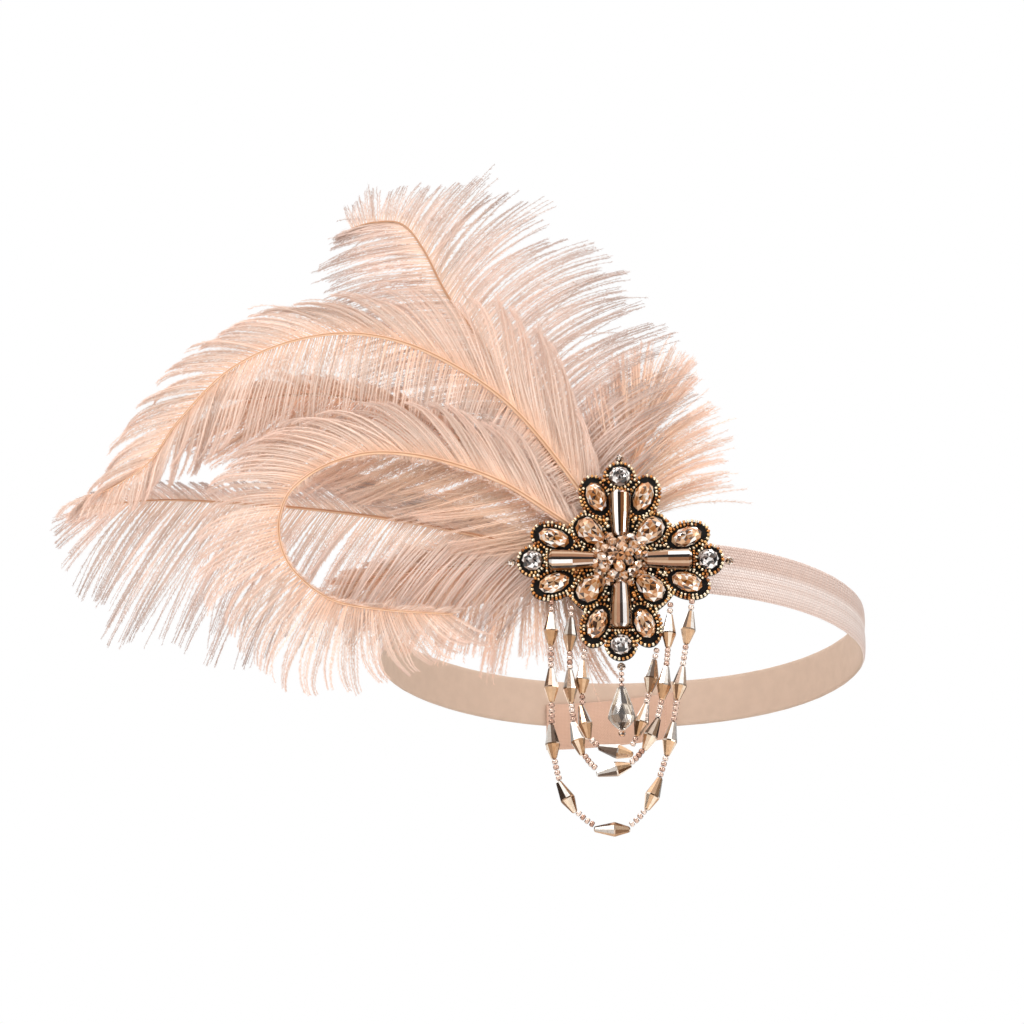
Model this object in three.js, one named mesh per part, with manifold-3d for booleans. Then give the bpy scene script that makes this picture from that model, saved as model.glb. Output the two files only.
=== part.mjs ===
// Feather headband: a stretch satin head loop with a jewelled cross medallion, hanging bead swags and a fan of
// ostrich plumes. Millimetres, +Z up. The origin is the centre of the head loop, and the medallion faces -Y.
import * as THREE from "three";
import { mergeVertices } from "three/addons/utils/BufferGeometryUtils.js";
import Module from "manifold-3d";

const wasm = await Module();
wasm.setup();

// Clearance between pieces that touch on the real thing.
const GAP = 0.3;

// Head loop, an ellipse of 537 mm round its middle.
const LOOP_HALF_WIDTH = 83;
const LOOP_HALF_DEPTH = 88;
const BAND_WIDTH = 17;
const BAND_THICKNESS = 1.5;
const CREASE_DEPTH = 0.4;
const BAND_EDGE_THICKNESS = 1.1;
const LOOP_FACETS = 64;

// Sewn overlap at the back of the loop: the free end lies inside and lower than the band.
const JOIN_LENGTH = 48;
const JOIN_THICKNESS = 1.2;
const JOIN_DROP = 7;
const JOIN_SIDEWAYS = -4.5;
const JOIN_RISE_DEG = 6;

// Felt pad that holds the quills, and the felt cross in front of it.
const PAD_RADIUS = 12.5;
const PAD_THICKNESS = 10.6;
const FELT_THICKNESS = 1.5;
const MEDALLION_DROP = 2.9;

// Medallion: the reach of one arm and of what lies along it, from the centre.
const CORE_RADIUS = 20.2;
const LOBE_CENTRE = 22.4;
const LOBE_LENGTH = 15.4;
const LOBE_WIDTH = 10.4;
const LOBE_ANGLE_DEG = 19.5;
const CHATON_CENTRE = 28;
const CHATON_FELT_RADIUS = 5;
const EDGING_BEAD = 1.3;
const OUTLINE_STEPS = 120;

// Stones. Their lengths follow from the places between the centre cluster and the bead edging.
const CLUSTER = { radius: 7.4, height: 4.6, crystal: 4.4 };
const BAGUETTE = { width: 7.2, height: 4.4 };
const DIAGONAL = { width: 9.4, height: 4.6 };
const CHATON_HEIGHT = 3.2;
const LOBE_STONE_HEIGHT = 3.0;
const LOBE_FELT = { side: 0.7, end: 1.3 };
const TIP_BEAD_DIAMETER = 2.8;

// Hanging strings: a thread with its seed beads, and long six-sided beads.
const SEED_BEAD = 2.0;
const LONG_BEAD = { length: 11.3, width: 4.7, widest: 0.57 };
const FIRST_BEAD_AT = 9.8;
const STRING_SIDES = 6;
const STRING_STEP = 3.2;

// The chosen points of each string: how far across its two ends hang from the felt, and the points between them,
// across and up from the bottom of the felt's lower tip. Across is in shares of LOBE_CENTRE, and up in shares of
// SWAG_HANG, by which the longest string hangs below that tip.
const SWAG_HANG = 51.7;
const SWAG_ROUTES = {
  outer: {
    ends: [-0.978, 1.013],
    between: [
      [-0.99, 0.14], [-0.983, -0.2], [-0.976, -0.44], [-0.9, -0.66], [-0.72, -0.84], [-0.43, -0.965],
      [-0.12, -1], [0.16, -0.955], [0.4, -0.81], [0.63, -0.52], [0.8, -0.14], [0.933, 0.207],
    ],
  },
  middle: {
    ends: [-0.696, 0.705],
    between: [
      [-0.726, 0.137], [-0.708, -0.2], [-0.6, -0.46], [-0.36, -0.615], [-0.06, -0.615], [0.24, -0.53],
      [0.5, -0.3], [0.634, 0.029],
    ],
  },
  inner: {
    ends: [-0.518, 0.509],
    between: [
      [-0.55, -0.05], [-0.535, -0.29], [-0.4, -0.44], [-0.16, -0.49], [0.06, -0.495], [0.21, -0.4],
      [0.37, -0.16], [0.455, 0.044],
    ],
  },
};
const SWAGS = [
  { name: "outer", beads: 9, layer: 2 },
  { name: "middle", beads: 7, layer: 1 },
  { name: "inner", beads: 5, layer: 0 },
];
const SWAG_PITCH = 1.7;

// Centre drop, down from its thread's top: seed beads, crystal and end bead.
const DROP = {
  thread: 0.097 * SWAG_HANG, length: 0.267 * SWAG_HANG, width: 9.2, widest: 0.72, topWidth: 3.2, footWidth: 2.2,
  endBead: 2.4,
};
const DROP_SIDES = 8;

// Plumes. A plume's size and its reach forward are shares of LONGEST_PLUME. Each route row gives a point of the
// quill, out and up from the medallion's centre, as shares of the plume's length. Each vane row gives, at a
// share of the quill, the barbs' length on the right and left of its way as shares of the plume's length, and
// the heading in degrees at which they start and end.
const LONGEST_PLUME = 200;
const QUILL_ROOT_DIAMETER = 1.7;
const QUILL_TIP_DIAMETER = 0.6;
const VANE_THICKNESS = 0.7;
const FAN_REACH = 0.55 * LONGEST_PLUME;
const LOCK_FUSED = 0.5;
const LOCK_NECK = 0.8;
const LAYER_PITCH = 2.15;
const PLUMES = [
  {
    name: "plume_lower", size: 0.95, layer: 4, forward: 0.065, locks: 20,
    route: [
      { out: -0.1, up: 0.078 }, { out: -0.2, up: 0.141 }, { out: -0.31, up: 0.176 },
      { out: -0.405, up: 0.184 }, { out: -0.475, up: 0.167 }, { out: -0.53, up: 0.135 },
      { out: -0.562, up: 0.095 }, { out: -0.57, up: 0.035 }, { out: -0.546, up: -0.025 },
      { out: -0.483, up: -0.075 }, { out: -0.4, up: -0.09 }, { out: -0.28, up: -0.094 },
    ],
    vane: [
      { at: 0, right: 0.03, rightFrom: 112, rightTo: 108, left: 0.01, leftFrom: 215, leftTo: 200 },
      { at: 0.08, right: 0.18, rightFrom: 112, rightTo: 122, left: 0.02, leftFrom: 215, leftTo: 200 },
      { at: 0.25, right: 0.16, rightFrom: 120, rightTo: 140, left: 0.02, leftFrom: 240, leftTo: 230 },
      { at: 0.38, right: 0.17, rightFrom: 135, rightTo: 180, left: 0.015, leftFrom: 250, leftTo: 240 },
      { at: 0.5, right: 0.18, rightFrom: 155, rightTo: 196, left: 0.015, leftFrom: 270, leftTo: 260 },
      { at: 0.6, right: 0.165, rightFrom: 185, rightTo: 208, left: 0.012, leftFrom: 300, leftTo: 300 },
      { at: 0.7, right: 0.18, rightFrom: 212, rightTo: 240, left: 0.012, leftFrom: 330, leftTo: 330 },
      { at: 0.8, right: 0.185, rightFrom: 245, rightTo: 262, left: 0.012, leftFrom: 20, leftTo: 10 },
      { at: 0.9, right: 0.12, rightFrom: 290, rightTo: 308, left: 0.02, leftFrom: 40, leftTo: 20 },
      { at: 1, right: 0.09, rightFrom: 325, rightTo: 335, left: 0.03, leftFrom: 30, leftTo: 15 },
    ],
  },
  {
    name: "plume_upper", size: 1, layer: 3, forward: 0.045, locks: 24,
    route: [
      { out: -0.07, up: 0.135 }, { out: -0.178, up: 0.268 }, { out: -0.305, up: 0.351 },
      { out: -0.42, up: 0.383 }, { out: -0.53, up: 0.371 }, { out: -0.63, up: 0.323 },
      { out: -0.71, up: 0.237 }, { out: -0.755, up: 0.167 }, { out: -0.81, up: 0.127 },
      { out: -0.85, up: 0.11 },
    ],
    vane: [
      { at: 0, right: 0.1, rightFrom: 88, rightTo: 95, left: 0.02, leftFrom: 190, leftTo: 200 },
      { at: 0.08, right: 0.27, rightFrom: 94, rightTo: 99, left: 0.04, leftFrom: 200, leftTo: 215 },
      { at: 0.2, right: 0.22, rightFrom: 104, rightTo: 92, left: 0.07, leftFrom: 235, leftTo: 250 },
      { at: 0.32, right: 0.165, rightFrom: 114, rightTo: 128, left: 0.13, leftFrom: 255, leftTo: 266 },
      { at: 0.45, right: 0.15, rightFrom: 132, rightTo: 176, left: 0.17, leftFrom: 256, leftTo: 268 },
      { at: 0.56, right: 0.13, rightFrom: 150, rightTo: 188, left: 0.2, leftFrom: 252, leftTo: 267 },
      { at: 0.68, right: 0.11, rightFrom: 168, rightTo: 200, left: 0.2, leftFrom: 248, leftTo: 266 },
      { at: 0.8, right: 0.12, rightFrom: 188, rightTo: 218, left: 0.14, leftFrom: 250, leftTo: 265 },
      { at: 0.9, right: 0.12, rightFrom: 200, rightTo: 228, left: 0.08, leftFrom: 256, leftTo: 266 },
      { at: 1, right: 0.08, rightFrom: 200, rightTo: 232, left: 0.05, leftFrom: 232, leftTo: 262 },
    ],
  },
  {
    name: "plume_mid", size: 0.675, layer: 2, forward: 0.025, locks: 14,
    route: [
      { out: -0.222, up: 0.21 }, { out: -0.374, up: 0.309 }, { out: -0.514, up: 0.382 },
      { out: -0.7, up: 0.43 }, { out: -0.9, up: 0.42 },
    ],
    vane: [
      { at: 0, right: 0.1, rightFrom: 110, rightTo: 110, left: 0.3, leftFrom: 184, leftTo: 186 },
      { at: 0.25, right: 0.13, rightFrom: 118, rightTo: 128, left: 0.34, leftFrom: 202, leftTo: 192 },
      { at: 0.6, right: 0.13, rightFrom: 138, rightTo: 150, left: 0.34, leftFrom: 222, leftTo: 205 },
      { at: 0.85, right: 0.13, rightFrom: 155, rightTo: 170, left: 0.3, leftFrom: 228, leftTo: 212 },
      { at: 1, right: 0.12, rightFrom: 170, rightTo: 185, left: 0.22, leftFrom: 205, leftTo: 208 },
    ],
  },
  {
    name: "plume_top", size: 0.75, layer: 1, forward: -0.03, locks: 18,
    route: [
      { out: -0.173, up: 0.3 }, { out: -0.29, up: 0.517 }, { out: -0.375, up: 0.646 },
      { out: -0.431, up: 0.759 }, { out: -0.478, up: 0.818 }, { out: -0.54, up: 0.823 },
      { out: -0.589, up: 0.809 },
    ],
    vane: [
      { at: 0, right: 0.2, rightFrom: 54, rightTo: 42, left: 0.1, leftFrom: 160, leftTo: 172 },
      { at: 0.12, right: 0.38, rightFrom: 60, rightTo: 24, left: 0.16, leftFrom: 163, leftTo: 180 },
      { at: 0.25, right: 0.4, rightFrom: 60, rightTo: 18, left: 0.22, leftFrom: 166, leftTo: 188 },
      { at: 0.5, right: 0.39, rightFrom: 60, rightTo: 8, left: 0.32, leftFrom: 172, leftTo: 204 },
      { at: 0.68, right: 0.33, rightFrom: 62, rightTo: 26, left: 0.3, leftFrom: 176, leftTo: 206 },
      { at: 0.8, right: 0.22, rightFrom: 64, rightTo: 44, left: 0.25, leftFrom: 180, leftTo: 208 },
      { at: 0.9, right: 0.13, rightFrom: 74, rightTo: 62, left: 0.15, leftFrom: 186, leftTo: 208 },
      { at: 1, right: 0.05, rightFrom: 120, rightTo: 112, left: 0.06, leftFrom: 205, leftTo: 212 },
    ],
  },
  {
    name: "plume_left", size: 0.9, layer: 1, forward: 0.02, locks: 20,
    route: [
      { out: -0.214, up: 0.054 }, { out: -0.3, up: 0.073 }, { out: -0.39, up: 0.09 },
      { out: -0.54, up: 0.11 }, { out: -0.72, up: 0.126 }, { out: -0.84, up: 0.13 },
      { out: -0.965, up: 0.118 },
    ],
    vane: [
      { at: 0, right: 0.2, rightFrom: 150, rightTo: 172, left: 0.2, leftFrom: 215, leftTo: 236 },
      { at: 0.12, right: 0.27, rightFrom: 142, rightTo: 172, left: 0.24, leftFrom: 218, leftTo: 240 },
      { at: 0.28, right: 0.29, rightFrom: 138, rightTo: 168, left: 0.28, leftFrom: 226, leftTo: 244 },
      { at: 0.42, right: 0.22, rightFrom: 138, rightTo: 160, left: 0.3, leftFrom: 234, leftTo: 250 },
      { at: 0.58, right: 0.1, rightFrom: 134, rightTo: 148, left: 0.35, leftFrom: 236, leftTo: 252 },
      { at: 0.75, right: 0.06, rightFrom: 135, rightTo: 145, left: 0.34, leftFrom: 232, leftTo: 246 },
      { at: 0.88, right: 0.06, rightFrom: 140, rightTo: 150, left: 0.22, leftFrom: 228, leftTo: 246 },
      { at: 1, right: 0.03, rightFrom: 160, rightTo: 170, left: 0.06, leftFrom: 205, leftTo: 212 },
    ],
  },
  {
    name: "plume_right", size: 0.45, layer: 0, forward: -0.025, locks: 14,
    route: [
      { out: 0.02, up: 0.27 }, { out: 0.045, up: 0.4 }, { out: 0.085, up: 0.55 },
    ],
    vane: [
      { at: 0, right: 0.46, rightFrom: 42, rightTo: 6, left: 0.42, leftFrom: 128, leftTo: 112 },
      { at: 0.3, right: 0.48, rightFrom: 48, rightTo: 16, left: 0.46, leftFrom: 120, leftTo: 102 },
      { at: 0.6, right: 0.45, rightFrom: 56, rightTo: 32, left: 0.44, leftFrom: 108, leftTo: 94 },
      { at: 0.85, right: 0.4, rightFrom: 66, rightTo: 52, left: 0.4, leftFrom: 94, leftTo: 86 },
      { at: 1, right: 0.37, rightFrom: 76, rightTo: 68, left: 0.37, leftFrom: 84, leftTo: 76 },
    ],
  },
  {
    name: "plume_fluff", size: 0.5, layer: 0, forward: -0.01, locks: 16,
    route: [
      { out: -0.36, up: 0.03 }, { out: -0.55, up: 0.02 }, { out: -0.72, up: 0.0 },
      { out: -0.88, up: -0.03 },
    ],
    vane: [
      { at: 0, right: 0.12, rightFrom: 140, rightTo: 150, left: 0.42, leftFrom: 268, leftTo: 312 },
      { at: 0.08, right: 0.16, rightFrom: 140, rightTo: 152, left: 0.42, leftFrom: 272, leftTo: 292 },
      { at: 0.2, right: 0.2, rightFrom: 144, rightTo: 158, left: 0.4, leftFrom: 264, leftTo: 270 },
      { at: 0.45, right: 0.2, rightFrom: 150, rightTo: 168, left: 0.38, leftFrom: 246, leftTo: 252 },
      { at: 0.7, right: 0.17, rightFrom: 155, rightTo: 172, left: 0.3, leftFrom: 230, leftTo: 238 },
      { at: 1, right: 0.1, rightFrom: 178, rightTo: 182, left: 0.16, leftFrom: 205, leftTo: 215 },
    ],
  },
];

// Colours of the photographed pieces.
const BLUSH_SATIN = { color: 0xe2bfa6, roughness: 0.45, metalness: 0 };
const DEEP_SATIN = { color: 0xcfa086, roughness: 0.6, metalness: 0 };
const BLACK_FELT = { color: 0x15120f, roughness: 0.95, metalness: 0 };
const GOLD_BEAD = { color: 0xc99a4b, roughness: 0.25, metalness: 1 };
const CHAMPAGNE = { color: 0xb48a5e, roughness: 0.06, metalness: 0.3 };
const SMOKY = { color: 0x6d5646, roughness: 0.05, metalness: 0.3 };
const PINK_SILVER = { color: 0xd8b8a4, roughness: 0.25, metalness: 0.6 };
const CLEAR_CHAMPAGNE = { color: 0xd8c3ae, roughness: 0.04, metalness: 0.1 };
const PLUME = { color: 0xf0cdb4, roughness: 0.8, metalness: 0 };

// Places worked out from the sizes above, front to back.
const loopFront = -(LOOP_HALF_DEPTH + BAND_THICKNESS / 2);
const padBack = loopFront - GAP;
const padFront = padBack - PAD_THICKNESS;
const feltBack = padFront - GAP;
const stringDepth = feltBack - FELT_THICKNESS / 2;
const tipCentre = CHATON_CENTRE + CHATON_FELT_RADIUS + GAP + TIP_BEAD_DIAMETER / 2;
const tipBottom = -(tipCentre + TIP_BEAD_DIAMETER / 2 + GAP) - MEDALLION_DROP;
const radians = THREE.MathUtils.degToRad;

const part = new THREE.Group();
// The medallion's own frame: x across, y up, z towards the viewer, 0 at the felt's back.
const medallion = new THREE.Group();
medallion.position.set(0, feltBack, -MEDALLION_DROP);
medallion.rotation.x = Math.PI / 2;
part.add(medallion);

function addPiece(parent, name, geometry, finish) {
  const piece = new THREE.Mesh(geometry, new THREE.MeshStandardMaterial(finish));
  piece.name = name;
  parent.add(piece);
  return piece;
}

// A closed surface from points and faces, turned so that its faces point outwards.
function closedSurface(points, faces) {
  const geometry = new THREE.BufferGeometry().setFromPoints(points);
  let volume = 0;
  for (const [a, b, c] of faces) {
    volume += points[a].dot(new THREE.Vector3().crossVectors(points[b], points[c]));
  }
  geometry.setIndex(faces.flatMap(([a, b, c]) => (volume > 0 ? [a, b, c] : [a, c, b])));
  geometry.computeVertexNormals();
  return geometry;
}

// A skin over rings of equally many points. The ends are closed flat, or joined where looped is true.
function loft(rings, looped = false) {
  const sides = rings[0].length;
  const faces = [];
  const last = looped ? rings.length : rings.length - 1;
  for (let i = 0; i < last; i++) {
    const here = i * sides;
    const next = ((i + 1) % rings.length) * sides;
    for (let j = 0; j < sides; j++) {
      const k = (j + 1) % sides;
      faces.push([here + j, next + j, next + k], [here + j, next + k, here + k]);
    }
  }
  if (!looped) {
    const end = last * sides;
    for (let j = 1; j < sides - 1; j++) {
      faces.push([0, j, j + 1], [end, end + j + 1, end + j]);
    }
  }
  return closedSurface(rings.flat(), faces);
}

function toSolid(geometry) {
  const bare = geometry.clone();
  bare.deleteAttribute("normal");
  bare.deleteAttribute("uv");
  const merged = mergeVertices(bare, 1e-4);
  return new wasm.Manifold(
    new wasm.Mesh({
      numProp: 3,
      vertProperties: merged.attributes.position.array,
      triVerts: new Uint32Array(merged.index.array),
    }),
  );
}

function toGeometry(solid) {
  const mesh = solid.getMesh();
  const geometry = new THREE.BufferGeometry();
  geometry.setAttribute("position", new THREE.BufferAttribute(mesh.vertProperties, 3));
  geometry.setIndex(new THREE.BufferAttribute(mesh.triVerts, 1));
  geometry.computeVertexNormals();
  return geometry;
}

// Head loop. A point of it is given by its angle, how far outwards it lies from the middle line, and its height.
function loopPoint(angle, outward, height) {
  const x = LOOP_HALF_WIDTH * Math.cos(angle);
  const y = LOOP_HALF_DEPTH * Math.sin(angle);
  const normal = new THREE.Vector2(x / LOOP_HALF_WIDTH ** 2, y / LOOP_HALF_DEPTH ** 2).normalize();
  return new THREE.Vector3(x + normal.x * outward, y + normal.y * outward, height);
}

function headband() {
  const inner = -BAND_THICKNESS / 2;
  const outer = BAND_THICKNESS / 2;
  const edge = inner + BAND_EDGE_THICKNESS;
  const half = BAND_WIDTH / 2;
  const section = [
    [inner, -half], [edge, -half], [outer, -half / 2], [outer - CREASE_DEPTH, 0],
    [outer, half / 2], [edge, half], [inner, half],
  ];
  const rings = [];
  for (let i = 0; i < LOOP_FACETS; i++) {
    const angle = ((i + 0.5) / LOOP_FACETS) * 2 * Math.PI;
    rings.push(section.map(([outward, height]) => loopPoint(angle, outward, height)));
  }
  return loft(rings, true);
}
addPiece(part, "headband", headband(), BLUSH_SATIN);

function backJoin() {
  const steps = 8;
  const outward = -BAND_THICKNESS / 2 - GAP;
  const rings = [];
  for (let i = 0; i <= steps; i++) {
    const along = JOIN_SIDEWAYS + (i / steps - 0.5) * JOIN_LENGTH;
    const angle = Math.PI / 2 - along / LOOP_HALF_WIDTH;
    const middle = (along - JOIN_SIDEWAYS) * Math.tan(radians(JOIN_RISE_DEG)) - JOIN_DROP;
    const low = middle - BAND_WIDTH / 2;
    const high = middle + BAND_WIDTH / 2;
    rings.push([
      loopPoint(angle, outward, low), loopPoint(angle, outward, high),
      loopPoint(angle, outward - JOIN_THICKNESS, high), loopPoint(angle, outward - JOIN_THICKNESS, low),
    ]);
  }
  return loft(rings);
}
addPiece(part, "back_join", backJoin(), DEEP_SATIN);

// Quill pad: a felt disc between the band and the felt cross.
const pad = addPiece(
  part, "quill_pad", new THREE.CylinderGeometry(PAD_RADIUS, PAD_RADIUS, PAD_THICKNESS, 24), BLACK_FELT,
);
pad.position.set(0, padBack - PAD_THICKNESS / 2, -MEDALLION_DROP);

// Felt cross. Its outline is the outermost of these ovals at each angle from the centre.
const ARMS = [
  { name: "right", turn: 0 }, { name: "top", turn: 90 }, { name: "left", turn: 180 },
  { name: "bottom", turn: 270 },
];
const LOBES = ARMS.flatMap(({ name, turn }) => [
  { name: `${name}_a`, turn: turn - LOBE_ANGLE_DEG }, { name: `${name}_b`, turn: turn + LOBE_ANGLE_DEG },
]);
const OVALS = [
  ...ARMS.map(({ turn }) => (
    { centre: CHATON_CENTRE, turn, long: CHATON_FELT_RADIUS, wide: CHATON_FELT_RADIUS }
  )),
  ...LOBES.map(({ turn }) => ({ centre: LOBE_CENTRE, turn, long: LOBE_LENGTH / 2, wide: LOBE_WIDTH / 2 })),
];

// How far an oval reaches from the medallion's centre at an angle, or 0 where it isn't met.
function ovalReach({ centre, turn, long, wide }, angle) {
  const c = Math.cos(angle - radians(turn));
  const s = Math.sin(angle - radians(turn));
  const a = (c / long) ** 2 + (s / wide) ** 2;
  const b = (-2 * c * centre) / long ** 2;
  const root = b * b - 4 * a * ((centre / long) ** 2 - 1);
  return root < 0 ? 0 : (-b + Math.sqrt(root)) / (2 * a);
}

// The outline's point at an angle, moved inwards by inset.
function outlinePoint(angle, inset = 0) {
  const reach = Math.max(CORE_RADIUS, ...OVALS.map((oval) => ovalReach(oval, angle))) - inset;
  return new THREE.Vector2(reach * Math.cos(angle), reach * Math.sin(angle));
}
const outlineAngles = Array.from({ length: OUTLINE_STEPS }, (_, i) => (i / OUTLINE_STEPS) * 2 * Math.PI);

const feltShape = new THREE.Shape(outlineAngles.map((angle) => outlinePoint(angle)));
addPiece(
  medallion, "felt_backing",
  new THREE.ExtrudeGeometry(feltShape, { depth: FELT_THICKNESS, bevelEnabled: false }), BLACK_FELT,
);

// Bead edging: one string round the felt's front, just inside its outline.
function beadEdging() {
  const radius = EDGING_BEAD / 2;
  const sides = 6;
  const height = FELT_THICKNESS + GAP + radius;
  const path = outlineAngles.map((angle) => outlinePoint(angle, radius));
  const rings = path.map((point, i) => {
    const before = path[(i + path.length - 1) % path.length];
    const after = path[(i + 1) % path.length];
    const across = new THREE.Vector2(after.y - before.y, before.x - after.x).normalize();
    return Array.from({ length: sides }, (_, j) => {
      const turn = ((j + 0.5) / sides) * 2 * Math.PI;
      const out = radius * Math.cos(turn);
      const up = height + radius * Math.sin(turn);
      return new THREE.Vector3(point.x + across.x * out, point.y + across.y * out, up);
    });
  });
  return loft(rings, true);
}
addPiece(medallion, "bead_edging", beadEdging(), GOLD_BEAD);

// A cut stone lying in x and y, its culet side down at z = 0. Each level has its height and its spread as shares
// of the stone's, and is turned half a step against the one below it. pear narrows the end towards -x.
const CROWN_LEVELS = [
  { height: 0, spread: 0.62 }, { height: 0.34, spread: 1 }, { height: 0.72, spread: 0.82 },
  { height: 1, spread: 0.5 },
];
function cutStone({ length, width, height }, sides, pear = 0) {
  const rings = CROWN_LEVELS.map((level, i) =>
    Array.from({ length: sides }, (_, j) => {
      const turn = ((j + (i % 2) / 2) / sides) * 2 * Math.PI;
      const narrow = 1 + pear * (Math.cos(turn) - 1) / 2;
      const x = (length / 2) * level.spread * Math.cos(turn);
      const y = (width / 2) * level.spread * narrow * Math.sin(turn);
      return new THREE.Vector3(x, y, height * level.height);
    }),
  );
  return loft(rings);
}

// A long tube with bevelled sides and ends, narrower at its start, lying along x from 0.
const TUBE_SECTION = [
  [-0.3, 0], [0.3, 0], [0.5, 0.4], [0.36, 0.84], [0.16, 1], [-0.16, 1], [-0.36, 0.84], [-0.5, 0.4],
];
const TUBE_STATIONS = [
  { at: 0, size: 0.45 }, { at: 0.13, size: 0.78 }, { at: 0.88, size: 1 }, { at: 1, size: 0.6 },
];
function baguette(length, { width, height }) {
  const rings = TUBE_STATIONS.map(({ at, size }) =>
    TUBE_SECTION.map(([across, up]) => {
      const lift = height * (0.5 + (up - 0.5) * size);
      return new THREE.Vector3(length * at, width * across * size, lift);
    }),
  );
  return loft(rings);
}

// Puts a stone that lies along x onto the felt, its middle or start at a distance from the centre.
function seat(name, geometry, finish, distance, turnDeg) {
  const stone = addPiece(medallion, name, geometry, finish);
  const turn = radians(turnDeg);
  stone.position.set(distance * Math.cos(turn), distance * Math.sin(turn), FELT_THICKNESS + GAP);
  stone.rotation.z = turn;
  return stone;
}

const stoneStart = CLUSTER.radius + GAP;
const chatonWidth = 2 * (CHATON_FELT_RADIUS - EDGING_BEAD - GAP);
const chaton = { length: chatonWidth, width: chatonWidth, height: CHATON_HEIGHT };
// A bar of beads lies between each baguette and its chaton.
const baguetteLength = CHATON_CENTRE - chatonWidth / 2 - EDGING_BEAD - 2 * GAP - stoneStart;
const diagonalLength = CORE_RADIUS - EDGING_BEAD - GAP - stoneStart;
const lobeStone = {
  length: LOBE_LENGTH - 2 * (EDGING_BEAD + LOBE_FELT.end),
  width: LOBE_WIDTH - 2 * (EDGING_BEAD + LOBE_FELT.side),
  height: LOBE_STONE_HEIGHT,
};
for (const { name, turn } of ARMS) {
  seat(`baguette_${name}`, baguette(baguetteLength, BAGUETTE), SMOKY, stoneStart, turn);
  seat(`chaton_${name}`, cutStone(chaton, 12), SMOKY, CHATON_CENTRE, turn);
  const ball = new THREE.SphereGeometry(TIP_BEAD_DIAMETER / 2, 10, 6);
  const bead = seat(`tip_bead_${name}`, ball, SMOKY, tipCentre, turn);
  bead.position.z = FELT_THICKNESS / 2;
  const drop = cutStone({ length: diagonalLength, ...DIAGONAL }, 12, 0.35);
  seat(`diagonal_stone_${name}`, drop, CHAMPAGNE, stoneStart + diagonalLength / 2, turn + 45);
}
for (const { name, turn } of LOBES) {
  seat(`lobe_stone_${name}`, cutStone(lobeStone, 10), CHAMPAGNE, LOBE_CENTRE, turn);
}

// Centre cluster: small irregular crystals fused to a low dome.
function centreCluster() {
  const { radius, height, crystal } = CLUSTER;
  const profile = [
    new THREE.Vector2(0, 0), new THREE.Vector2(radius, 0), new THREE.Vector2(radius * 0.94, height * 0.6),
    new THREE.Vector2(radius * 0.6, height), new THREE.Vector2(0, height),
  ];
  const dome = new THREE.LatheGeometry(profile, 16);
  dome.rotateX(Math.PI / 2);
  let solid = toSolid(dome);
  const rows = [{ count: 1, out: 0, up: 1.05 }, { count: 6, out: 0.55, up: 0.98 }];
  for (const { count, out, up } of rows) {
    for (let i = 0; i < count; i++) {
      const turn = ((i + 0.3) / count) * 2 * Math.PI;
      const stone = new THREE.IcosahedronGeometry(crystal / 2, 0);
      stone.rotateX(0.7 * i + 0.2);
      stone.rotateY(1.1 * i + 0.4);
      stone.translate(radius * out * Math.cos(turn), radius * out * Math.sin(turn), height * up);
      solid = solid.add(toSolid(stone));
    }
  }
  return toGeometry(solid);
}
seat("centre_cluster", centreCluster(), CHAMPAGNE, 0, 0);

// A string: rings round a path at chosen distances along it, each with its own radius. The path lies in a plane
// that faces the viewer.
function beadString(path, stations) {
  const length = path.getLength();
  return loft(
    stations.map(({ at, radius, sides = STRING_SIDES }) => {
      const share = THREE.MathUtils.clamp(at / length, 0, 1);
      const point = path.getPointAt(share);
      const tangent = path.getTangentAt(share);
      const across = new THREE.Vector3(-tangent.z, 0, tangent.x);
      return Array.from({ length: sides }, (_, j) => {
        const turn = ((j + 0.5) / sides) * 2 * Math.PI;
        const ring = new THREE.Vector3(0, -radius * Math.sin(turn), 0);
        return ring.addScaledVector(across, radius * Math.cos(turn)).add(point);
      });
    }),
  );
}

// Stations of a swag: beads at an even pitch between the first and the last, with the thread between them.
function swagStations(length, beads) {
  const thread = SEED_BEAD / 2;
  const pitch = (length - 2 * FIRST_BEAD_AT) / (beads - 1);
  const stations = [{ at: 0, radius: thread }];
  const threadTo = (end) => {
    const start = stations[stations.length - 1].at;
    const steps = Math.max(1, Math.round((end - start) / STRING_STEP));
    for (let i = 1; i <= steps; i++) {
      stations.push({ at: start + ((end - start) * i) / steps, radius: thread });
    }
  };
  for (let i = 0; i < beads; i++) {
    const top = FIRST_BEAD_AT + i * pitch - LONG_BEAD.length / 2;
    threadTo(top);
    // The wide part of a long bead is always the lower one, on both sides of the swag.
    const widest = i < beads / 2 ? LONG_BEAD.widest : 1 - LONG_BEAD.widest;
    stations.push({ at: top + LONG_BEAD.length * widest, radius: LONG_BEAD.width / 2 });
    stations.push({ at: top + LONG_BEAD.length, radius: thread });
  }
  threadTo(length);
  return stations;
}

// The lowest height at which the felt's edging still hangs over a place across, for a string's top.
function edgeBelow(across) {
  let lowest = 0;
  for (const angle of outlineAngles) {
    const point = outlinePoint(angle);
    if (Math.abs(point.x - across) < 0.75 * SEED_BEAD) lowest = Math.min(lowest, point.y);
  }
  return lowest - MEDALLION_DROP - GAP;
}

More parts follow.
